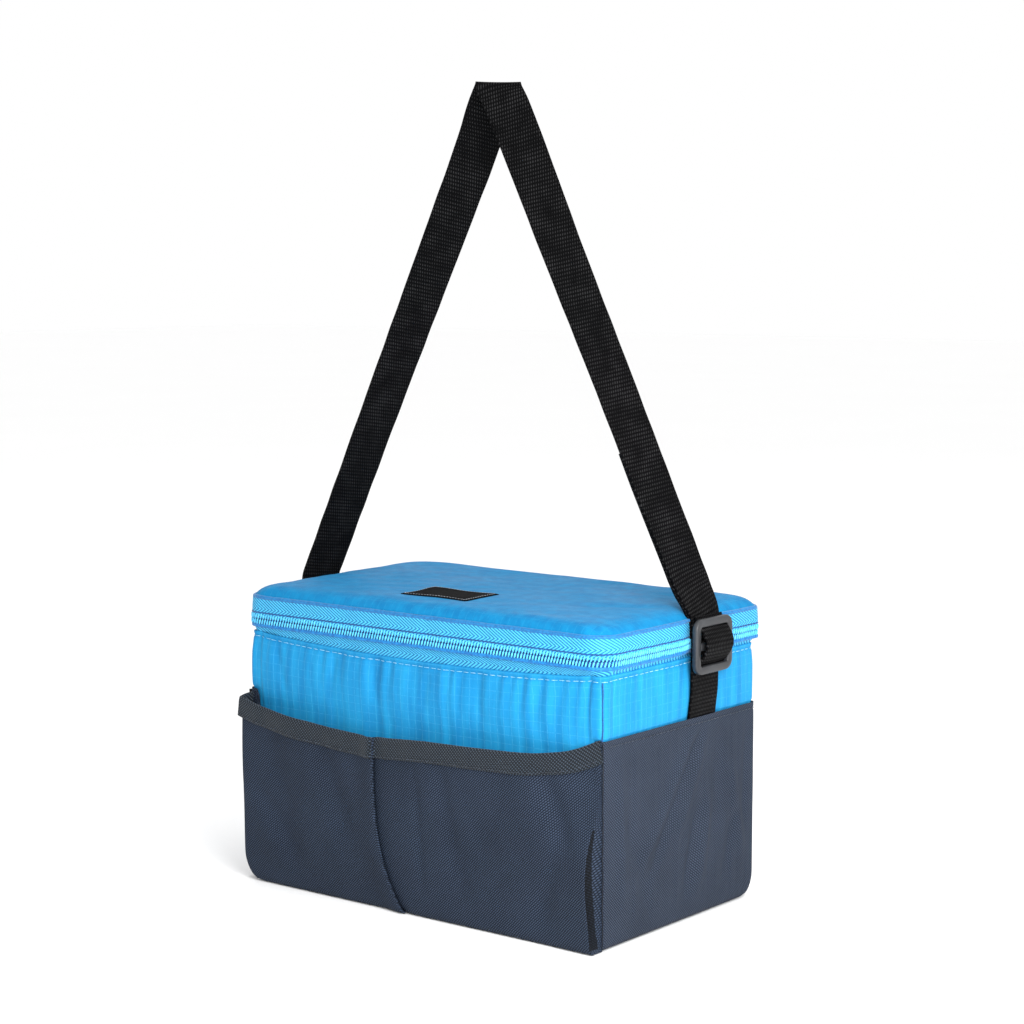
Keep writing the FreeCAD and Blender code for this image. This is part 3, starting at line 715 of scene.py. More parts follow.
rounded_foot(points)
lowered = 1 - front_share(points[:, 20]) * (1 - FRONT_HEM / HEM)
points[:, :, 2] *= lowered[:, None]
cloth = np.concatenate([cloth, cloth[:, -1:] + [0, 1.0], cloth[:, -1:] + [0, 8.0]], axis=1)
lower_fabric = grid("lower_fabric", points, cloth, NAVY, closed=True)
# faces on the two ends take the lighter twill: painted sheen on the end panels
faced(lower_fabric, lambda c, n: abs(c[0]) > HALF_X - 4.5 and abs(n[0]) > 0.5, NAVY_END_SHEEN)
place(lower_fabric, "bag", "navy_twill",
      ["front_lower_panel", "back_lower_panel", "left_lower_panel", "right_lower_panel"])

base_scale = np.array([0.02, 0.3, 0.6, 0.85, 1.0])
edge = points[:, 0, :2]
base = np.stack([np.column_stack([edge * s, np.full(len(edge), 0.12 + 0.12 * (s > 0.9))])
                 for s in base_scale], axis=1)
base_panel = grid("base_panel", base, base[:, :, :2], NAVY_FLAT, closed=True, wrap=False, cap=True)
place(base_panel, "bag", "navy_twill", ["bottom_panel"])


def hem_line(level, lift=0.1):
    ring, normals, _ = outline(*lower_size(level)[:2], lower_size(level)[2:])
    out = lower_push(ring, normals, level) + lift
    path = np.column_stack([ring + normals * out[:, None], np.full(len(ring), level)])
    turned = np.column_stack([normals, np.zeros(len(ring))])
    front = np.where(ring[:, 1] < -HALF_Y + 2)[0]
    return ((path[:front[0]], turned[:front[0]]), (path[front[-1] + 1:], turned[front[-1] + 1:]))


place(stitches("hem_stitches", hem_line(HEM_STITCH_Z), NAVY_THREAD), "bag", "navy_twill")
# near-black cords down both front corners of the navy walls: the corner seams, drawn dark as painted shade in
# the seam
corner_shade_cords = []
for side in (-1, 1):
    high = np.linspace(2.0, HEM - 0.5, 60)
    seam = np.column_stack([np.full(60, side * (HALF_X + 0.75)), np.full(60, -HALF_Y - 0.75), high])
    seam[:, 0] += 0.15 * ripple(high, 17, 9, 30)
    corner_shade_cords.append(sweep(seam, np.tile([0.7071, -0.7071 * side, 0.0], (60, 1)),
                       np.tile([0.7071 * side, -0.7071, 0.0], (60, 1)), round_section(1.5, 1.2, 8), False))
place(joined("corner_seams", corner_shade_cords, SEAM_SHADE_THREAD), "bag", "navy_twill")


def upper_size(level):
    ease = smooth(level, RIM - 12, RIM - 2)
    return HALF_X + 0.6, HALF_Y + 0.6, 3.0 + 1.5 * ease, 3.0 + 1.6 * ease


def upper_push(points, normals, level):
    x, y = points.T
    front = smooth(-normals[:, 1], 0.6, 1.0)
    side = smooth(np.abs(normals[:, 0]), 0.6, 1.0)
    top = smooth(level, HEM + 2, RIM - 4)
    run = np.where(np.abs(normals[:, 1]) > 0.7, x, y + 200)
    gather = 0.42 * ripple(run + 0.5 * np.sin(level / 6), 11, 7.0, 15.0) * (0.35 + 0.65 * top)
    gather = gather + 0.55 * ripple(run, 12, 24, 60) * (0.5 + 0.5 * top)
    z = np.full_like(x, level)
    folds = (crease(x, z, (-104, 138), (-98, 112), 3.0, 0.9) + crease(x, z, (-60, 139), (-66, 110), 4.0, 0.8)
             + crease(x, z, (-32, 140), (-29, 112), 3.4, 0.9) + crease(x, z, (8, 140), (5, 112), 3.2, 0.9)
             + crease(x, z, (42, 139), (46, 110), 4.6, 0.8) + crease(x, z, (84, 138), (80, 112), 3.6, 0.8))
    belly = 1.4 * np.sin(math.pi * np.clip((level - HEM + 8) / (RIM - HEM + 8), 0, 1))
    out = front * (gather + folds + belly) + side * (0.5 * gather + 0.15 * belly)
    out = out + smooth(normals[:, 1], 0.6, 1.0) * (0.5 * gather + 0.4 * belly)
    pucker = bump_at(level, STITCH_Z, 1.1)
    seam = np.exp(-((np.abs(x) + np.abs(y) * 1.0 - (HALF_X + HALF_Y - 7.5)) / 1.1) ** 2) * (y < 0)
    out = out * (1 - 0.75 * smooth(level, RIM - 4, RIM - 0.5)) - 0.6 * pucker - 0.6 * seam
    ends = 1 - front_share(points)
    under = (1 - smooth(level, HEM - 1, HEM + 3)) * ends
    strap = bump_at(y, STRAP_Y, 15.0) * (x > 0) * side
    out = out * (1 - under) - 0.9 * under - 1.8 * strap * (1 - smooth(level, HEM + 2, HEM + 12))
    return out - 1.3 * strap * smooth(level, RIM - 16, RIM)


def sag(points):
    """How far the rim hangs below its corners along the front."""
    x, y = points[..., 0], points[..., 1]
    return RIM_SAG * smooth(-y, HALF_Y - 10, HALF_Y - 3) * np.maximum(0, 1 - (x / SAG_HALF_WIDE) ** 2) ** 0.8


UPPER_LEVELS = np.concatenate([np.arange(FRONT_HEM - 6, RIM - 6, 1.3), np.arange(RIM - 6, RIM + 0.3, 0.35)])
counts = dict(straight_x=300, straight_y=120, arc=16)
points, cloth = walls(UPPER_LEVELS, upper_size, upper_push, **counts)
fold_in = points[:, -1:].copy()
fold_in[:, 0, :2] -= 0.9 * fold_in[:, 0, :2] / np.linalg.norm(fold_in[:, 0, :2], axis=1)[:, None]
fold_in[:, 0, 2] += 0.2
points = np.concatenate([points, fold_in], axis=1)
points[:, :, 2] -= sag(points) * smooth(points[:, :, 2], 100, RIM - 6)
cloth = np.concatenate([cloth, cloth[:, -1:] + [0, 1.0]], axis=1)
upper_fabric = grid("upper_fabric", points, cloth, BLUE, closed=True)
place(upper_fabric, "bag", "blue_ripstop",
      ["front_upper_panel", "back_upper_panel", "left_upper_panel", "right_upper_panel"])


def rim_line(level):
    ring, normals, _ = outline(*upper_size(level)[:2], upper_size(level)[2:], **counts)
    out = upper_push(ring, normals, level) + 0.15
    path = np.column_stack([ring + normals * out[:, None], np.full(len(ring), level)])
    path[:, 2] -= sag(path)
    turned = np.column_stack([normals, np.zeros(len(ring))])
    return np.concatenate([path, path[:1]]), np.concatenate([turned, turned[:1]])


# a dark blue cord down the right front corner of the blue walls: the corner seam, drawn dark as painted shade
high = np.linspace(HEM + 0.6, RIM - 2.6, 50)
seam = np.column_stack([np.full(50, HALF_X + 0.2), np.full(50, -HALF_Y - 0.2), high])
seam[:, 1] -= 0.3 + 0.25 * ripple(high, 19, 10, 25)
rim_corner_shade_cord = sweep(seam, np.tile([0.7071, 0.7071, 0.0], (50, 1)), np.tile([0.7071, -0.7071, 0.0], (50, 1)),
                    round_section(0.7, 0.7, 8), False)
place(joined("rim_corner_seam", [rim_corner_shade_cord], SHADE_CORD), "bag", "blue_ripstop")
place(stitches("rim_stitches", [rim_line(STITCH_Z)], BLUE_THREAD, pitch=4.6), "bag", "blue_ripstop")


# ---- zipper: tapes, coils, stops, slider ---------------------------------------------------------


ZIP_OUT = 3.4


def zip_out(level):
    """The zipper and lid stand a little proud of the walls."""
    return ZIP_OUT * smooth(level, RIM - 1, HINGE - 1)


def zip_size(level):
    out = zip_out(level)
    return HALF_X - 0.3 + out, HALF_Y - 0.3 + out, 4.5 + 0.6 * out, 5.0 + 2.4 * out


def pressed(points, normals):
    """The strap's right leg presses the lid and zipper in a little."""
    return -4.4 * bump_at(points[:, 1], STRAP_Y - 1, 15.0) * smooth(normals[:, 0], 0.3, 0.9)


def zip_end(x):
    """How far back the zipper reaches: to its stop on the left, and to the corner on the right."""
    return np.where(x < 0, ZIP_END, HALF_Y + 0.6)


def open_ring(points, cloth):
    """The part of a ring in front of the zipper's ends, running left, front and right."""
    middle = points[:, points.shape[1] // 2]
    keep = middle[:, 1] < zip_end(middle[:, 0]) + 1.5
    return points[keep], cloth[keep]


def back_ring(points, cloth):
    """The part of a ring behind the zipper's ends."""
    middle = points[:, points.shape[1] // 2]
    keep = np.where(middle[:, 1] >= zip_end(middle[:, 0]) - 0.5)[0]
    split = np.where(np.diff(keep) > 1)[0][0] + 1
    order = np.concatenate([keep[split:], keep[:split]])
    length = cloth[-1, 0, 0] + 1.0
    out = cloth[order].copy()
    out[len(keep) - split:, :, 0] += length
    return points[order], out


def tape_push(points, normals, level):
    """Small waves, the strap's dent, and a flat run on the left where the slider passes."""
    flat_run = smooth(-normals[:, 0], 0.5, 0.95) * smooth(points[:, 1], -62, -40) * smooth(level, RIM,
                                                                                           RIM + 4)
    waves = 0.12 * ripple(points[:, 0] - points[:, 1], 21, 12, 40)
    return waves + pressed(points, normals) * smooth(level, RIM - 4, RIM + 6) - SLIDER_ROOM * flat_run


def tape(name, levels, swell, material, slot, body, nodes):
    rings, flat = walls(levels, zip_size, lambda p, n, z: tape_push(p, n, z) + swell(z))
    rings, flat = open_ring(rings, flat)
    hang = sag(rings) * (1 - smooth(rings[:, :, 2], RIM, RIM + 4.5))
    rings[:, :, 2] -= hang
    flat[:, :, 1] -= hang
    item = grid(name, rings, flat, material)
    return place(item, body, slot, nodes)


COIL_LOW = node_box("lower_zipper_coil")
COIL_HIGH = node_box("upper_zipper_coil")
tape("lower_tape", np.linspace(RIM - 1.6, COIL_LOW[0][2] + 0.6, 13),
     lambda z: 0.5 * smooth(z, 144, 148) - 0.2, LOWER_TAPE, "zipper_tape", "bag", ["lower_zipper_tape"])
UPPER_LOW = COIL_HIGH[1][2] - 1.2
tape("upper_tape", np.linspace(UPPER_LOW, PIPING_Z, 17),
     lambda z: 0.3 + 0.5 * float(bump_at(z, 157, 5)), UPPER_TAPE, "zipper_tape", "lid", ["upper_zipper_tape"])


def along_zip(name, body, slot, path, normals, offset, high, deep, material):
    """A strip that follows the zipper: offset is how far up and out it lies from the path."""
    line = path + normals * offset[1] + UP * offset[0]
    strip = sweep(line, np.tile(UP, (len(path), 1)), normals, round_section(high, deep, 10, 3), False)
    return place(joined(name, [strip], material), body, slot)


def coil(name, body, node, centre, start, pitch=2.0):
    """Teeth of a nylon coil, side-on over a dark base that is painted shade between the teeth; the two coils'
    teeth alternate.
    """
    half_x, half_y, *corners = zip_size(centre)
    ring, normals, _ = outline(half_x + 0.4, half_y + 0.4, corners, straight_x=120, straight_y=60)
    ring = ring + normals * tape_push(ring, normals, centre)[:, None]
    keep = ring[:, 1] < zip_end(ring[:, 0]) - 0.6
    both = np.column_stack([ring, np.full(len(ring), centre), normals, np.zeros(len(ring))])[keep]
    steps = np.linalg.norm(np.diff(both[:, :3], axis=0), axis=1)
    run = np.concatenate([[0.0], np.cumsum(steps)])
    at = np.arange(start, run[-1], pitch)
    lined = np.column_stack([np.interp(at, run, both[:, k]) for k in range(6)])
    beads = []
    for row in lined:
        out = row[3:]
        tooth = UP + np.cross(UP, out) * 0.3
        tooth /= np.linalg.norm(tooth)
        beads.append(capsule(row[:3] + out * 0.35, tooth, np.cross(tooth, out), out, 3.1, 1.05, 1.3))
    place(joined(name, beads, COIL), body, "zipper_coil", [node])
    path, out = both[:, :3], both[:, 3:]
    # dark blue strip under the teeth: painted shade in the gaps between them
    along_zip(name + "_base", body, "zipper_coil", path, out, (0.0, -0.7), 3.0, 0.9, SHADE_CORD)
    return path, out


path, out = coil("lower_coil", "bag", "lower_zipper_coil", HINGE - 0.9, 0.5)
along_zip("lower_coil_welt", "bag", "zipper_tape", path, out, (-2.3, -0.3), 2.2, 1.8, WELT)
path, out = coil("upper_coil", "lid", "upper_zipper_coil", HINGE + 2.1, 1.5)
# a dark line between the upper coil and its tape: painted shade at the seam
along_zip("upper_coil_seam", "lid", "zipper_tape", path, out, (2.2, -0.2), 0.9, 1.6, SHADE_CORD)

hinge_levels = np.linspace(RIM - 0.4, PIPING_Z, 24)
points, cloth = walls(hinge_levels, zip_size,
                      lambda p, n, z: 0.35 * ripple(p[:, 0] * (np.abs(p[:, 1]) > 60) + p[:, 1] * 2, 31, 11,
                                                    30)
                      * math.sin(math.pi * (z - RIM) / (PIPING_Z - RIM)) - 0.9 * float(bump_at(z, HINGE,
                                                                                               3.0)))
points, cloth = back_ring(points, cloth)
hinge_fabric = grid("hinge_fabric", points, cloth, BACK_BLUE)
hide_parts("hinge_strip_lower", "hinge_strip_upper")
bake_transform(hinge_fabric)


# ---- lid -----------------------------------------------------------------------------------------


def lid_size(scale=1.0, out=0.0):
    half_x = HALF_X + ZIP_OUT - 0.6 + out
    half_y = HALF_Y + ZIP_OUT - 0.6 + out
    return half_x * scale, half_y * scale, (8.0 * scale, 14.0 * scale)


def lid_height(x, y, scale):
    """Crown of the padded lid: steep by the piping, nearly flat in the middle."""
    edge = 1 - scale
    reach = edge * HALF_Y
    rise = (LID_TOP - PIPING_Z + 0.6) * (1 - np.exp(-reach / 2.6)) + 0.7 * (1 - (x / HALF_X) ** 2)
    rise = rise + 1.0 * smooth(-x + 0.8 * y, 60, 150) * (1 - np.exp(-reach / 3.0))
    z = PIPING_Z + 0.5 + rise * 0.93
    dents = (crease(x, y, (112, -2), (70, -30), 5, 0.8) + crease(x, y, (116, 22), (82, 46), 5, 0.7)
             + crease(x, y, (-60, -62), (-90, -30), 8, 0.7) + crease(x, y, (30, 60), (70, 34), 8, 0.6)
             + crease(x, y, (-20, 58), (-60, 20), 10, 0.7) + crease(x, y, (96, -62), (60, -50), 6, 0.6))
    wander = 0.25 * ripple(x * 0.8 + y, 41, 30, 80) + 0.14 * ripple(y - x * 0.5, 42, 18, 40)
    return z + (dents + wander) * smooth(edge, 0.01, 0.12)


scales = 1 - np.concatenate([[0.0, 0.006, 0.014, 0.024, 0.036, 0.05], np.linspace(0.07, 0.98, 40)])[::-1]
rings, flats = [], []
for scale in scales:
    ring, normals, _ = outline(*lid_size(scale), straight_x=140, straight_y=70)
    ring = ring + normals * (pressed(ring, normals) * scale ** 6)[:, None]
    rings.append(np.column_stack([ring, lid_height(ring[:, 0], ring[:, 1], scale)]))
    flats.append(ring)
lid_top = grid("lid_top", np.stack(rings, axis=1), np.stack(flats, axis=1), LID_BLUE,
               closed=True, wrap=False, cap=True)
place(lid_top, "lid", "blue_ripstop", ["lid_top_panel"])


def ring_path(out, level):
    ring, normals, _ = outline(*lid_size(1.0, out), straight_x=90, straight_y=50)
    ring = ring + normals * pressed(ring, normals)[:, None]
    path = np.column_stack([ring, np.full(len(ring), level)])
    return path, np.column_stack([normals, np.zeros(len(ring))])


path, turned = ring_path(0.1, PIPING_Z)
path[:, 2] += 0.12 * ripple(path[:, 0] - path[:, 1], 51, 15, 60)
piping = joined("lid_edge_piping", [sweep(path, np.tile(UP, (len(path), 1)), turned,
                                          round_section(2.3, 2.2, 12), True)], PIPING_CLOTH)
place(piping, "lid", "blue_binding", ["lid_piping"])
# a dark blue cord just under the piping: painted shade beneath the lid's edge
under = path - [0, 0, 1.55]
piping_lower_shade = joined("lid_edge_seam", [sweep(under, np.tile(UP, (len(path), 1)), turned,
                                            round_section(0.7, 1.0, 8), True)], SHADE_CORD)
place(piping_lower_shade, "lid", "blue_binding")
# and one just inside the piping on the lid top: painted shade along the piping's upper side
above = path - turned * 1.7 + [0, 0, 1.25]
piping_upper_shade = joined("lid_top_seam", [sweep(above, np.tile(UP, (len(path), 1)), turned,
                                         round_section(0.7, 0.8, 8), True)], SHADE_CORD)
place(piping_upper_shade, "lid", "blue_binding")

path, turned = ring_path(-4.2, LID_TAPE_Z)
binding = joined("lid_inner_tape", [sweep(path, np.tile(UP, (len(path), 1)), turned,
                                          round_section(5.2, 1.4, 10, 3), True)], GREY_TAPE)
place(binding, "lid", "grey_binding", ["lid_binding"])

rings, flats = [], []
for scale in np.concatenate([np.linspace(0.02, 0.95, 30), [0.97, 0.985]]):
    ring, normals, _ = outline(*lid_size(scale, -4.8), straight_x=100, straight_y=60)
    ring = ring + normals * (pressed(ring, normals) * scale ** 6)[:, None]
    puff = -1.4 * np.sin(math.pi * min(1.0, (1 - scale) / 0.9)) ** 0.5 if scale < 0.98 else 0.0
    lines = 0.25 * ripple(ring[:, 0] + 0.4 * ring[:, 1], 61, 14, 50)
    rings.append(np.column_stack([ring, LINING_Z + puff + lines * (scale < 0.95)]))
    flats.append(ring)
lid_lining = grid("lid_lining", np.stack(rings, axis=1), np.stack(flats, axis=1), FOIL,
                  closed=True, wrap=False, cap=True)
place(lid_lining, "lid", "silver_liner", ["lid_liner"])


# ---- label: a blank woven patch ------------------------------------------------------------------


def scale_at(x, y):
    """How far out a point lies between the lid's middle and its edge."""
    return np.maximum(np.abs(x) / HALF_X, np.abs(y) / HALF_Y)


LABEL_MID = (LABEL_LOW + LABEL_HIGH) / 2
LABEL_HALF = (LABEL_HIGH - LABEL_LOW) / 2


def on_lid(x, y, lift):
    return np.stack([x, y, lid_height(x, y, scale_at(x, y)) + lift], axis=-1)


u, v = np.meshgrid(np.linspace(-1, 1, 47), np.linspace(-1, 1, 31), indexing="ij")
x = LABEL_MID[0] + u * LABEL_HALF[0]
y = LABEL_MID[1] + v * LABEL_HALF[1]
rim = np.maximum(np.abs(u) * LABEL_HALF[0] - LABEL_HALF[0], np.abs(v) * LABEL_HALF[1] - LABEL_HALF[1])
lift = 0.75 - 0.45 * smooth(rim, -0.8, 0.0) - 0.15 * bump_at(rim, -1.6, 0.5)
label = grid("blank_label", on_lid(x, y, lift), np.stack([x, y], axis=-1), LABEL, thick=0.5)
place(label, "lid", "label_weave", ["lid_label"])
inset = LABEL_HALF[:2] - 1.4
corners = np.array([[-1, -1], [1, -1], [1, 1], [-1, 1], [-1, -1]]) * inset + LABEL_MID[:2]
line = np.concatenate([np.linspace(corners[k], corners[k + 1], 24, endpoint=False) for k in range(4)]
                      + [corners[:1]])
place(stitches("label_stitches", [(on_lid(line[:, 0], line[:, 1], 0.78), np.tile(UP, (len(line), 1)))],
               GREY_THREAD, pitch=2.0, lift=0.05, wide=0.28), "lid", "label_weave")


# ---- front pocket --------------------------------------------------------------------------------

BODY_FRONT = -HALF_Y
POCKET_TOP = [(-125, 106.5), (-112, 103.2), (-85, 99.0), (-50, 96.0), (-23, 94.8), (10, 97.4), (50, 98.6),
              (85, 100.0), (108, 103.4), (125, 111.0)]
RIGHT_OPENS = 86.0


def pocket_top(x):
    xs, zs = np.array(POCKET_TOP, float).T
    fine = np.linspace(-125, 125, 251)
    rough = np.interp(fine, xs, zs)
    window = np.hanning(25)
    padded = np.concatenate([2 * rough[0] - rough[12:0:-1], rough, 2 * rough[-1] - rough[-2:-14:-1]])
    return np.interp(x, fine, np.convolve(padded, window / window.sum(), "valid"))


def pocket_right(z):
    """How far forward the pocket's right edge stands at each height."""
    return POCKET_Y + 0.6 + (BODY_FRONT - 1.6 - POCKET_Y) * smooth(z, 50,
                                                                   RIGHT_OPENS + 4) - 5.2 * bump_at(z, 36, 26)


def pocket_face(x, z):
    """The front of the pocket, as y over x and z."""
    y = POCKET_Y + 0.5 + 0.0 * x
    right = smooth(x, 84, 125)
    y = y + (pocket_right(z) - POCKET_Y - 0.5) * right
    top = smooth(z, 40, 104)
    y = y - 2.4 * bump_at(x, -92, 40) * top - 1.7 * bump_at(x, 40, 42) * top * (1 - right)
    y = y - 1.3 * np.sin(math.pi * np.clip(z / 100, 0, 1)) * (1 - right)
    y = y - (crease(x, z, (-104, 96), (-84, 30), 9, 2.2) + crease(x, z, (-64, 92), (-40, 24), 8, 2.0)
             + crease(x, z, (-116, 60), (-78, 14), 7, 2.4) + crease(x, z, (22, 90), (38, 22), 6, 1.6)
             + crease(x, z, (88, 98), (112, 48), 6, 2.4) + crease(x, z, (60, 60), (30, 12), 9, 1.8)
             + crease(x, z, (104, 52), (92, 8), 6, 1.6) + crease(x, z, (6, 86), (12, 14), 2.6, 1.1))
    foot = 4.0
    y = y + np.where(z < foot, foot - np.sqrt(np.maximum(foot ** 2 - (foot - z) ** 2, 0)), 0.0) * 0.7
    return y - 0.25 * ripple(x + 0.5 * z, 71, 22, 60) * smooth(z, 4, 20)


def pleat_at(z, top):
    """Where the divider's pleat runs: straight down, then swinging right near the foot."""
    low = np.clip(1 - z / top, 0, 1)
    return -23.0 + 1.5 * low + 19.5 * low ** 3.2


LEFT_RADIUS = 17.0


def left_edge(z):
    """The left end of the pocket, rounded off at the bottom and leaning a little."""
    round_off = np.where(z < LEFT_RADIUS,
                         LEFT_RADIUS - np.sqrt(np.maximum(LEFT_RADIUS ** 2 - (LEFT_RADIUS - z) ** 2, 0)), 0.0)
    return -HALF_X + 0.2 + round_off * 0.8 - 0.8 * smooth(z, 60, 106)


rows = np.concatenate([[0.0, 0.01, 0.022, 0.036, 0.052, 0.07], np.linspace(0.09, 0.97, 56), [0.985, 1.0]])
left_share = np.linspace(0, 1, 64)
right_share = np.linspace(0, 1, 84)
columns, flats = [], []


def pocket_column(x, forward, flat_x):
    """One column of the face. x is a function of height, forward an offset towards the front."""
    top = pocket_top(x(np.array([98.0])))[0]
    z = 0.3 + rows * (top - 0.3)
    xs = x(z)
    columns.append(np.column_stack([xs, pocket_face(xs, z) - forward(z), z]))
    flats.append(np.column_stack([flat_x(xs), z]))


def share_x(start, end, share):
    return lambda z: start(z) + (end(z) - start(z)) * share


def flap(z):
    return pleat_at(z, 88.0)


for depth in (10.4, 7.6, 5.2, 3.0, 1.3, 0.35):
    turn = 1.0 - 0.9 * smooth(np.array([depth]), 0.0, 3.4)[0]
    pocket_column(lambda z, t=turn: left_edge(z) + 1.9 * t * t + 0.9 * math.sin(depth / 3.3),
                  lambda z, d=depth: -d + 1.2 * d / 10.4, lambda xs, d=depth: xs - d)
for share in left_share[1:]:
    lift = 1.9 * smooth(np.array([share]), 0.86, 0.985)[0]
    pocket_column(share_x(lambda z: left_edge(z) + 1.9, flap, share), lambda z, k=lift: k + 0 * z,
                  lambda xs: xs)
for back, forward in ((-0.55, 1.5), (-0.75, 0.6), (0.3, -0.25), (3.0, -0.9), (5.2, -1.15)):
    pocket_column(lambda z, b=back: flap(z) - b, lambda z, f=forward: f + 0 * z, lambda xs,
                  b=back: xs + 2 * b)
for share in right_share:
    sink = 1.3 * (1 - smooth(np.array([share]), 0.0, 0.1)[0])
    pocket_column(share_x(lambda z: flap(z) - 4.6, lambda z: 0 * z + HALF_X - 0.5, share),
                  lambda z, k=sink: -k + 0 * z, lambda xs: xs + 10.4)
front_count = len(columns)
for depth, dip in ((0.3, 0.6), (0.8, 3.6), (1.6, 6.0), (2.8, 5.4), (4.4, 3.4), (6.4, 1.6), (8.2, 0.6),
                   (9.6, 0.1)):
    last = columns[front_count - 1]
    share = (depth / 9.6) ** (1 + 0.9 * smooth(last[:, 2], 6, 60))
    reach = (BODY_FRONT - 0.3) - last[:, 1]
    gap = np.clip(reach / 9.6, 0, 1)
    x = HALF_X + 0.1 - dip * gap * smooth(last[:, 2], 2, 14) + 0.3 * (depth > 9)
    columns.append(np.column_stack([x, last[:, 1] + reach * share, last[:, 2]]))
    flats.append(np.column_stack([flats[front_count - 1][:, 0] + depth, last[:, 2]]))
points = np.stack(columns, axis=0)
cloth = np.stack(flats, axis=0)
pocket_cloth = grid("pocket_cloth", points, cloth, NAVY)
# gusset faces just behind the pocket's front edge, low down, get the near-black twill: painted shade in the
# fold
pocket_cloth.data.materials.append(NAVY_FOLD_SHADE)
for number, face in enumerate(pocket_cloth.data.polygons):
    column = number // (len(rows) - 1) - (front_count - 1)
    high = columns[0][number % (len(rows) - 1), 2]
    if 0 <= column <= 5 and 2 < high < 62:
        face.material_index = 1
place(pocket_cloth, "bag", "navy_twill",
      ["pocket_panel", "pocket_left_gusset", "pocket_right_gusset"])

# binding tape, folded over the pocket's top edge
TAPE_WIDE = 11.0
fold = [(-TAPE_WIDE, 0.75), (-TAPE_WIDE + 0.5, 1.15), (-9.2, 1.2), (-7.0, 1.25), (-4.6, 1.3), (-2.4, 1.35),
        (-0.8, 1.25), (0.2, 0.9), (0.65, 0.2), (0.6, -0.5), (0.1, -1.1), (-1.0, -1.4), (-3.5, -1.35),
        (-7.5, -1.2)]
run_x = np.concatenate([np.linspace(-HALF_X + 0.4, -23.6, 90), np.linspace(-22.0, HALF_X - 0.6, 120)])
tops = pocket_top(run_x)
slope = np.gradient(tops, run_x)
length = np.concatenate([[0], np.cumsum(np.hypot(np.diff(run_x), np.diff(tops)))])
side_y = pocket_face(run_x, tops - 4)
ahead = np.where(run_x < -22.8, 1.9 * smooth(run_x, -33, -24.5), -1.2 * (1 - smooth(run_x, -22, -12)))
points = np.zeros((len(run_x), len(fold), 3))
cloth = np.zeros((len(run_x), len(fold), 2))
walked = 0.0
for k, (drop, out) in enumerate(fold):
    z = tops + drop
    points[:, k, 0] = run_x - slope * drop * 0.5
    points[:, k, 1] = pocket_face(run_x, np.minimum(z, tops)) - out - ahead + 0.12 * ripple(run_x, 81, 9, 30)
    points[:, k, 2] = z
    cloth[:, k, 0] = length
    cloth[:, k, 1] = walked
    if k + 1 < len(fold):
        walked += math.hypot(fold[k + 1][0] - drop, fold[k + 1][1] - out)
left_turn = []
left_flat = []
for depth in (10.2, 7.8, 5.6, 3.6, 1.9, 0.7):
    shifted = points[0].copy()
    shifted[:, 0] += -0.5 + 0.045 * (5.0 - depth) ** 2 - 0.8 + (0.8 - np.array([f[1] for f in fold])) * 0.9
    shifted[:, 1] = points[0, 8, 1] + depth
    shifted[:, 2] += depth * 0.12
    left_turn.append(shifted)
    left_flat.append(cloth[0] - [depth, 0])
points = np.concatenate([np.stack(left_turn), points])
cloth = np.concatenate([np.stack(left_flat), cloth])
pocket_tape = grid("pocket_tape", points, cloth, BINDING)
place(pocket_tape, "bag", "navy_twill", ["pocket_binding"])

run_x = np.linspace(-HALF_X + 3, HALF_X - 2, 240)
tops = pocket_top(run_x)
z = tops - (TAPE_WIDE - 1.3)
y = pocket_face(run_x, z) - 1.35 - np.where(run_x < -22.8, 1.9 * smooth(run_x, -33, -24.5), 0.0)
path = np.column_stack([run_x, y, z])
normals = np.tile([0.0, -1.0, 0.0], (len(path), 1))
place(stitches("pocket_tape_stitches", [(path, normals)], NAVY_THREAD, pitch=2.8, wide=0.4),
      "bag", "navy_twill")

# floor and inside wall of the pocket
x, t = np.meshgrid(np.linspace(-HALF_X + 16, HALF_X - 0.8, 60), np.linspace(0, 1, 8), indexing="ij")
y = BODY_FRONT - 0.2 + (POCKET_Y + 2.6 - BODY_FRONT) * t
z = 1.0 + 0.3 * np.sin(3 * t) + 0.2 * ripple(x, 91, 20, 50)
pocket_floor = grid("pocket_base", np.stack([x, y, z], axis=-1), np.stack([x, y], axis=-1), NAVY_FLAT,
                    thick=0.8)
place(pocket_floor, "bag", "navy_twill", ["pocket_floor"])
t, z = np.meshgrid(np.linspace(0, 1, 8), np.linspace(1.5, 84, 40), indexing="ij")
x = np.vectorize(lambda v: flap(np.array([v]))[0])(z) * t + -13.0 * (1 - t) - 4.0 * t
front = pocket_face(x, z) + 2.2
y = BODY_FRONT - 0.2 + (front - BODY_FRONT + 0.2) * t
x = x + 0.8 * np.sin(math.pi * t)
divider = grid("pocket_wall", np.stack([x, y, z], axis=-1), np.stack([y, z], axis=-1), NAVY_FLAT, thick=0.8)
place(divider, "bag", "navy_twill", ["pocket_divider"])


# ---- carrying strap ------------------------------------------------------------------------------

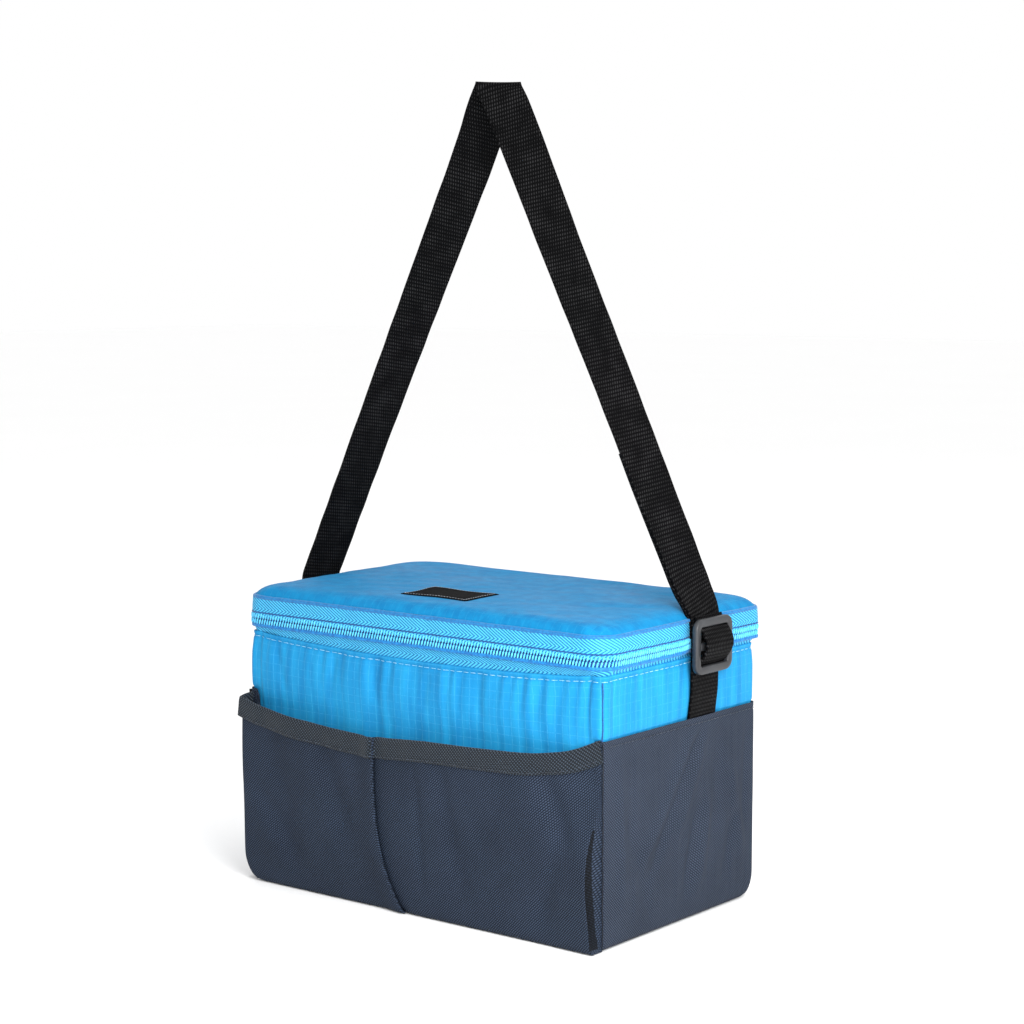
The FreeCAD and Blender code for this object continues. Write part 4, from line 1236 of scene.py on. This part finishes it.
FOLD_TURN = 44.0
LEFT_STATIONS = [(-124.9, 18.5, 104, 90), (-125.4, 18.5, 111, 90), (-130.2, 17.5, 124, 90),
                 (-139.4, 13.5, 142, 86), (-145.8, 9.6, 154, 78), (-144.9, 8.2, 165, 73),
                 (-139.7, 7.8, 176, 71),
                 (-127.7, 7.2, 200, 71), (-98.2, 6, 259, 69), (-62.1, 5, 331, 63), (-21.7, 4, 411.6, 53)]
RIGHT_STATIONS = [(19.6, 2, 410.4, 52), (44, 3.4, 357, 60), (76, 5.4, 289, 66), (102, 7.4, 232, 69),
                  (117.6, 10, 196.6, 73), (122.6, 13, 182, 78), (126.2, 16.6, 171, 84),
                  (127.6, 18.3, 163, 89),
                  (127.8, 18.5, 150, 90), (127.7, 18.5, 139, 90), (127.3, 18.5, 126, 90),
                  (126.4, 18.5, 116, 90), (125.2, 18.5, 104, 90)]


def strap_line():
    away = np.array([-math.sin(math.radians(FOLD_TURN)), math.cos(math.radians(FOLD_TURN))])
    gap = STRAP_THICK * 0.72
    top = STRAP_TOP - STRAP_THICK * 0.5 - 0.4
    stations = [list(row) for row in LEFT_STATIONS]
    fold = []
    for angle in (200, 160, 120, 90, 60, 20, -20):
        back = -math.cos(math.radians(angle)) * gap * 0.75
        rise = math.sin(math.radians(angle)) * gap * 0.75
        fold.append([away[0] * back, away[1] * back, top - gap + rise, FOLD_TURN])
    back_leg = [[-8.2 + away[0] * gap, 1.4 + away[1] * gap, 437.5, 47.0],
                [-2.2 + away[0] * gap, 0.6 + away[1] * gap, 448.4, 44.6]]
    front_leg = [[1.6 - away[0] * gap, -away[1] * gap, 448.6, 44.6],
                 [7.0 - away[0] * gap, 0.6 - away[1] * gap, 437.8, 47.0]]
    return stations + back_leg + fold[1:-1] + front_leg + [list(row) for row in RIGHT_STATIONS]


def ribbon(name, stations, wide, thick, material, rows, sway=0.0, seed=1, start=0.0):
    """Webbing whose sections stay level. Each station is x, y, z and the turn of the section, in degrees."""
    line = spline(stations, rows)
    centre = line[:, :3]
    turn = np.radians(line[:, 3])
    side = np.column_stack([np.cos(turn), np.sin(turn), np.zeros(rows)])
    ahead = np.gradient(centre, axis=0)
    step = np.linalg.norm(ahead, axis=1)
    ahead /= step[:, None]
    lean = np.sum(ahead * side, axis=1)
    lean = np.convolve(np.pad(lean, 2, "edge"), np.ones(5) / 5, "valid")
    stretch = 1 / np.sqrt(np.maximum(1 - lean ** 2, 0.3))
    out = np.cross(side, ahead)
    out /= np.linalg.norm(out, axis=1)[:, None]
    run = start + np.concatenate([[0.0], np.cumsum(np.linalg.norm(np.diff(centre, axis=0), axis=1))])
    across = np.linspace(-0.5, 0.5, 21)
    half = wide * stretch
    points = centre[:, None, :] + across[None, :, None] * (side * half[:, None])[:, None, :]
    wave = sway * ripple(run, seed, 18, 60)[:, None] * (across[None, :] * 2) ** 2
    cup = 0.25 * (1 - (across[None, :] * 2) ** 2)
    points = points + out[:, None, :] * (wave + cup)[:, :, None]
    cloth = np.stack([np.broadcast_to(across * wide, (rows, 21)) + 0.0 * run[:, None],
                      run[:, None] + across[None, :] * (half * lean)[:, None]], axis=-1)
    cloth[:, :, 0] += wide
    item = grid(name, points, cloth, material, thick=thick)
    item.modifiers["thickness"].offset = 0
    return item


strap = ribbon("strap_ribbon", strap_line(), STRAP_WIDE, STRAP_THICK, STRAP, 700, sway=0.2, seed=5)
place(strap, "strap", "black_webbing", ["strap_webbing"])
TAIL_STATIONS = [(126.3, 17.6, 154, 90), (126.1, 17.4, 163, 89), (124.6, 15.6, 171, 84),
                 (121.0, 12.0, 182, 78),
                 (116.0, 9.6, 196.6, 73), (100.3, 7.6, 232, 69), (91.4, 7.0, 252, 68)]
tail = ribbon("strap_tail_ribbon", TAIL_STATIONS, STRAP_WIDE - 0.4, STRAP_THICK, STRAP, 120, seed=9)
place(tail, "strap", "black_webbing", ["strap_tail"])
for side, name in ((1, "right"), (-1, "left")):
    foot = [(side * 122.9, STRAP_Y, ANCHOR_LOW[2] + 0.5, 90), (side * 122.9, STRAP_Y, ANCHOR_HIGH[2] - 3, 90)]
    end = ribbon("strap_end_" + name, foot, STRAP_WIDE - 0.6, 1.2, STRAP, 12)
    place(end, "bag", "black_webbing", ["strap_anchor_" + name])

# tri-glide: a frame with the webbing bulging over its hidden middle bar
GLIDE_WIDE = GLIDE_HIGH[1] - GLIDE_LOW[1]
GLIDE_TALL = GLIDE_HIGH[2] - GLIDE_LOW[2]
GLIDE_X = (GLIDE_LOW[0] + GLIDE_HIGH[0]) / 2 + 0.6
GLIDE_BAR = 4.5
ring, normals, _ = outline(GLIDE_WIDE / 2 - GLIDE_BAR / 2, GLIDE_TALL / 2 - GLIDE_BAR / 2, (3.6, 3.6),
                           straight_x=20, straight_y=18, arc=10)
path = np.column_stack([np.full(len(ring), GLIDE_X), ring[:, 0] + STRAP_Y, ring[:, 1] + GLIDE_Z])
turned = np.column_stack([np.zeros(len(ring)), normals[:, 0], normals[:, 1]])
frame_bar = sweep(path, turned, np.tile([1.0, 0.0, 0.0], (len(path), 1)),
                  round_section(GLIDE_BAR, 3.6, 16, 3.6), True)
middle = np.column_stack([np.full(8, GLIDE_X + 0.2), STRAP_Y + np.linspace(-1, 1, 8) * (GLIDE_WIDE / 2 - 3),
                          np.full(8, GLIDE_Z)])
bar = sweep(middle, np.tile(UP, (8, 1)), np.tile([1.0, 0.0, 0.0], (8, 1)), round_section(4.4, 2.6, 12, 3),
            False)
glide = joined("tri_glide_frame", [frame_bar, bar], PLASTIC)
place(glide, "adjuster", "dark_plastic", ["tri_glide"])
over = [(129.2, STRAP_Y, GLIDE_Z - 15.5, 90), (130.6, STRAP_Y, GLIDE_Z - 11.0, 90),
        (134.0, STRAP_Y, GLIDE_Z - 6.8, 90), (136.3, STRAP_Y, GLIDE_Z - 2.6, 90),
        (137.1, STRAP_Y, GLIDE_Z + 1.0, 90), (136.2, STRAP_Y, GLIDE_Z + 5.0, 90),
        (133.6, STRAP_Y, GLIDE_Z + 9.2, 90), (130.6, STRAP_Y, GLIDE_Z + 12.2, 90),
        (129.3, STRAP_Y, GLIDE_Z + 16.0, 90)]
loop = ribbon("strap_over_bar", over, STRAP_WIDE, STRAP_THICK, STRAP, 60, sway=0.2, seed=3)
place(loop, "adjuster", "black_webbing")


# ---- inside --------------------------------------------------------------------------------------


def liner_size(level):
    return HALF_X - 6.4, HALF_Y - 6.4, 15.0, 15.0


def liner_push(points, normals, level):
    x, y = points.T
    run = x * np.abs(normals[:, 1]) + y * np.abs(normals[:, 0])
    soft = math.sin(math.pi * min(1.0, max(0.0, (level - LINER_LOW[2]) / (LINER_HIGH[2] - LINER_LOW[2]))))
    lines = 0.5 * ripple(run + 0.35 * level, 95, 13, 46) + 0.3 * ripple(run - 0.8 * level, 96, 9, 30)
    foot = 4.0
    low = level - LINER_LOW[2]
    curve = foot - math.sqrt(max(foot ** 2 - (foot - low) ** 2, 0)) if low < foot else 0.0
    return -(0.7 * soft + soft * lines) - curve


liner_levels = np.concatenate([LINER_LOW[2] + np.array([0.15, 0.7, 1.6, 2.8, 4.0]),
                               np.linspace(12, LINER_HIGH[2], 44)])
points, cloth = walls(liner_levels, liner_size, liner_push)
tub = grid("liner_cloth", points, cloth, FOIL, closed=True)
place(tub, "bag", "silver_liner", ["liner_tub"])
edge = points[:, 0, :2]
inner = np.stack([np.column_stack([edge * s,
                                   LINER_LOW[2] + 0.3 + 0.4 * ripple(edge[:, 0] * s + edge[:, 1] * s, 97,
                                                                     30, 80)
                                   * (s < 0.97)]) for s in np.linspace(0.02, 1.0, 26)], axis=1)
tub_floor = grid("liner_floor", inner, inner[:, :, :2], FOIL, closed=True, wrap=False, cap=True)
place(tub_floor, "bag", "silver_liner")


def foam_push(points, normals, level):
    return -1.2 * bump_at(level, 3.0, 3.0) + 0.15 * ripple(points[:, 0] + points[:, 1] + level, 99, 20, 60)


outer, outer_flat = walls(np.linspace(2.5, RIM - 5, 12), lambda z: (HALF_X - 3.4, HALF_Y - 3.4, 9.0, 9.0),
                          foam_push)
inner, inner_flat = walls(np.linspace(RIM - 5, 7.0, 12), lambda z: (HALF_X - 5.6, HALF_Y - 5.6, 8.0, 8.0),
                          foam_push)
foam_ring = grid("wall_foam", np.concatenate([outer, inner], axis=1),
                 np.concatenate([outer_flat, inner_flat], axis=1), FOAM, closed=True)
place(foam_ring, "bag", "foam", ["front_foam", "back_foam", "left_foam", "right_foam"])
edge = outline(HALF_X - 9.0, HALF_Y - 9.0, (9.0, 9.0))[0]
slab = [np.column_stack([edge * s, np.full(len(edge), z)]) for s, z in
        ((0.02, 1.6), (0.5, 1.6), (0.99, 1.6), (1.0, 2.6), (1.0, 4.6), (0.99, 5.6), (0.5, 5.6), (0.02, 5.6))]
slab = np.stack(slab, axis=1)
base_pad = grid("base_pad", slab, slab[:, :, :2], FOAM, closed=True, wrap=False, cap=True)
place(base_pad, "bag", "foam", ["base_foam"])
rings = []
for scale, low in ((0.02, 0), (0.5, 0), (0.9, 0), (0.955, 0), (0.97, 0.5), (0.955, 1), (0.9, 1), (0.5, 1),
                   (0.02, 1)):
    ring, normals, _ = outline(*lid_size(scale, -3.0), straight_x=60, straight_y=30)
    under = lid_height(ring[:, 0], ring[:, 1], scale) - 1.6
    rings.append(np.column_stack([ring, under * (1 - low) + 160.0 * low]))
slab = np.stack(rings, axis=1)
lid_pad = grid("lid_pad", slab, slab[:, :, :2], FOAM, closed=True, wrap=False, cap=True)
place(lid_pad, "lid", "foam", ["lid_foam"])

rim_levels = np.linspace(0, 1, 14)
rings, flats = [], []
for t in rim_levels:
    out = -0.9 - 6.6 * t
    ring, normals, run = outline(HALF_X + out, HALF_Y + out, (7 + 6 * t, 9 + 4 * t))
    z = RIM - 0.6 + 1.1 * math.sin(math.pi * t) ** 0.6 + 0.12 * ripple(ring[:, 0] - ring[:, 1], 98, 9, 30)
    z = z - sag(ring) * (1 - t)
    rings.append(np.column_stack([ring, z]))
    flats.append(np.column_stack([run, np.full(len(run), 7 * t)]))
rings.append(rings[-1] + [0, 0, -6.0])
flats.append(flats[-1] + [0, 6.0])
rim_tape = grid("rim_tape", np.stack(rings, axis=1), np.stack(flats, axis=1), GREY_TAPE, closed=True)
place(rim_tape, "bag", "grey_binding", ["rim_binding"])


# ---- hard parts kept as designed -----------------------------------------------------------------

for node in ("zipper_slider", "pull_tab", "zipper_stop_left", "zipper_stop_right"):
    item = bpy.data.objects[node]
    item.data.materials.clear()
    item.data.materials.append(METAL)


# ---- floor, light and camera ---------------------------------------------------------------------

TARGET = Vector((0.00972, 0.0, 0.2151))
AZIMUTH = math.radians(38.29)
ELEVATION = math.radians(6.08)
DISTANCE = 1.30043
BACK = Vector((math.sin(AZIMUTH) * math.cos(ELEVATION), -math.cos(AZIMUTH) * math.cos(ELEVATION),
               math.sin(ELEVATION)))


def aimed(item, at, target):
    item.location = at
    item.rotation_euler = (target - at).to_track_quat("-Z", "Y").to_euler()


camera = bpy.data.objects.new("main_camera", bpy.data.cameras.new("main_camera"))
bpy.context.scene.collection.objects.link(camera)
camera.data.sensor_width = 36.0
camera.data.lens = 81.46
aimed(camera, TARGET + BACK * DISTANCE, TARGET)
bpy.context.scene.camera = camera


def soft_light(name, azimuth, elevation, distance, size, power, tint=(1.0, 1.0, 1.0)):
    a, e = math.radians(azimuth), math.radians(elevation)
    at = Vector((math.sin(a) * math.cos(e), -math.cos(a) * math.cos(e), math.sin(e))) * distance
    data = bpy.data.lights.new(name, "AREA")
    data.shape = "DISK"
    data.size = size
    data.energy = power
    data.color = tint
    item = bpy.data.objects.new(name, data)
    bpy.context.scene.collection.objects.link(item)
    aimed(item, at + Vector((0, 0, 0.12)), Vector((0, 0, 0.12)))
    return item


key = soft_light("key_light", 56, 20, 0.66, 0.36, 4.6)
fill = soft_light("side_light", 88, 12, 1.6, 0.9, 1.6)
top = soft_light("top_light", 20, 78, 1.5, 1.0, 2.2)
rim_light = soft_light("back_light", 200, 50, 2.0, 0.9, 3.0)

world = bpy.data.worlds.new("studio")
bpy.context.scene.world = world
world.use_nodes = True
world.node_tree.nodes["Background"].inputs["Color"].default_value = (1.0, 1.0, 1.0, 1.0)
world.node_tree.nodes["Background"].inputs["Strength"].default_value = 1.0

floor_mesh = bpy.data.meshes.new("studio_floor")
floor_mesh.from_pydata([(-9, -9, -0.0004), (9, -9, -0.0004), (9, 9, -0.0004), (-9, 9, -0.0004)], [],
                       [(0, 1, 2, 3)])
floor_shader = Shader("studio_floor", roughness=0.8, specular=0.1)
floor_tone = floor_shader.mix(floor_shader.noise(3.0), (0.985, 0.985, 0.985, 1.0), (1.0, 1.0, 1.0, 1.0))
floor = new_object("studio_floor", floor_mesh, floor_shader.finish(floor_tone))

bpy.context.scene.view_settings.view_transform = "Standard"
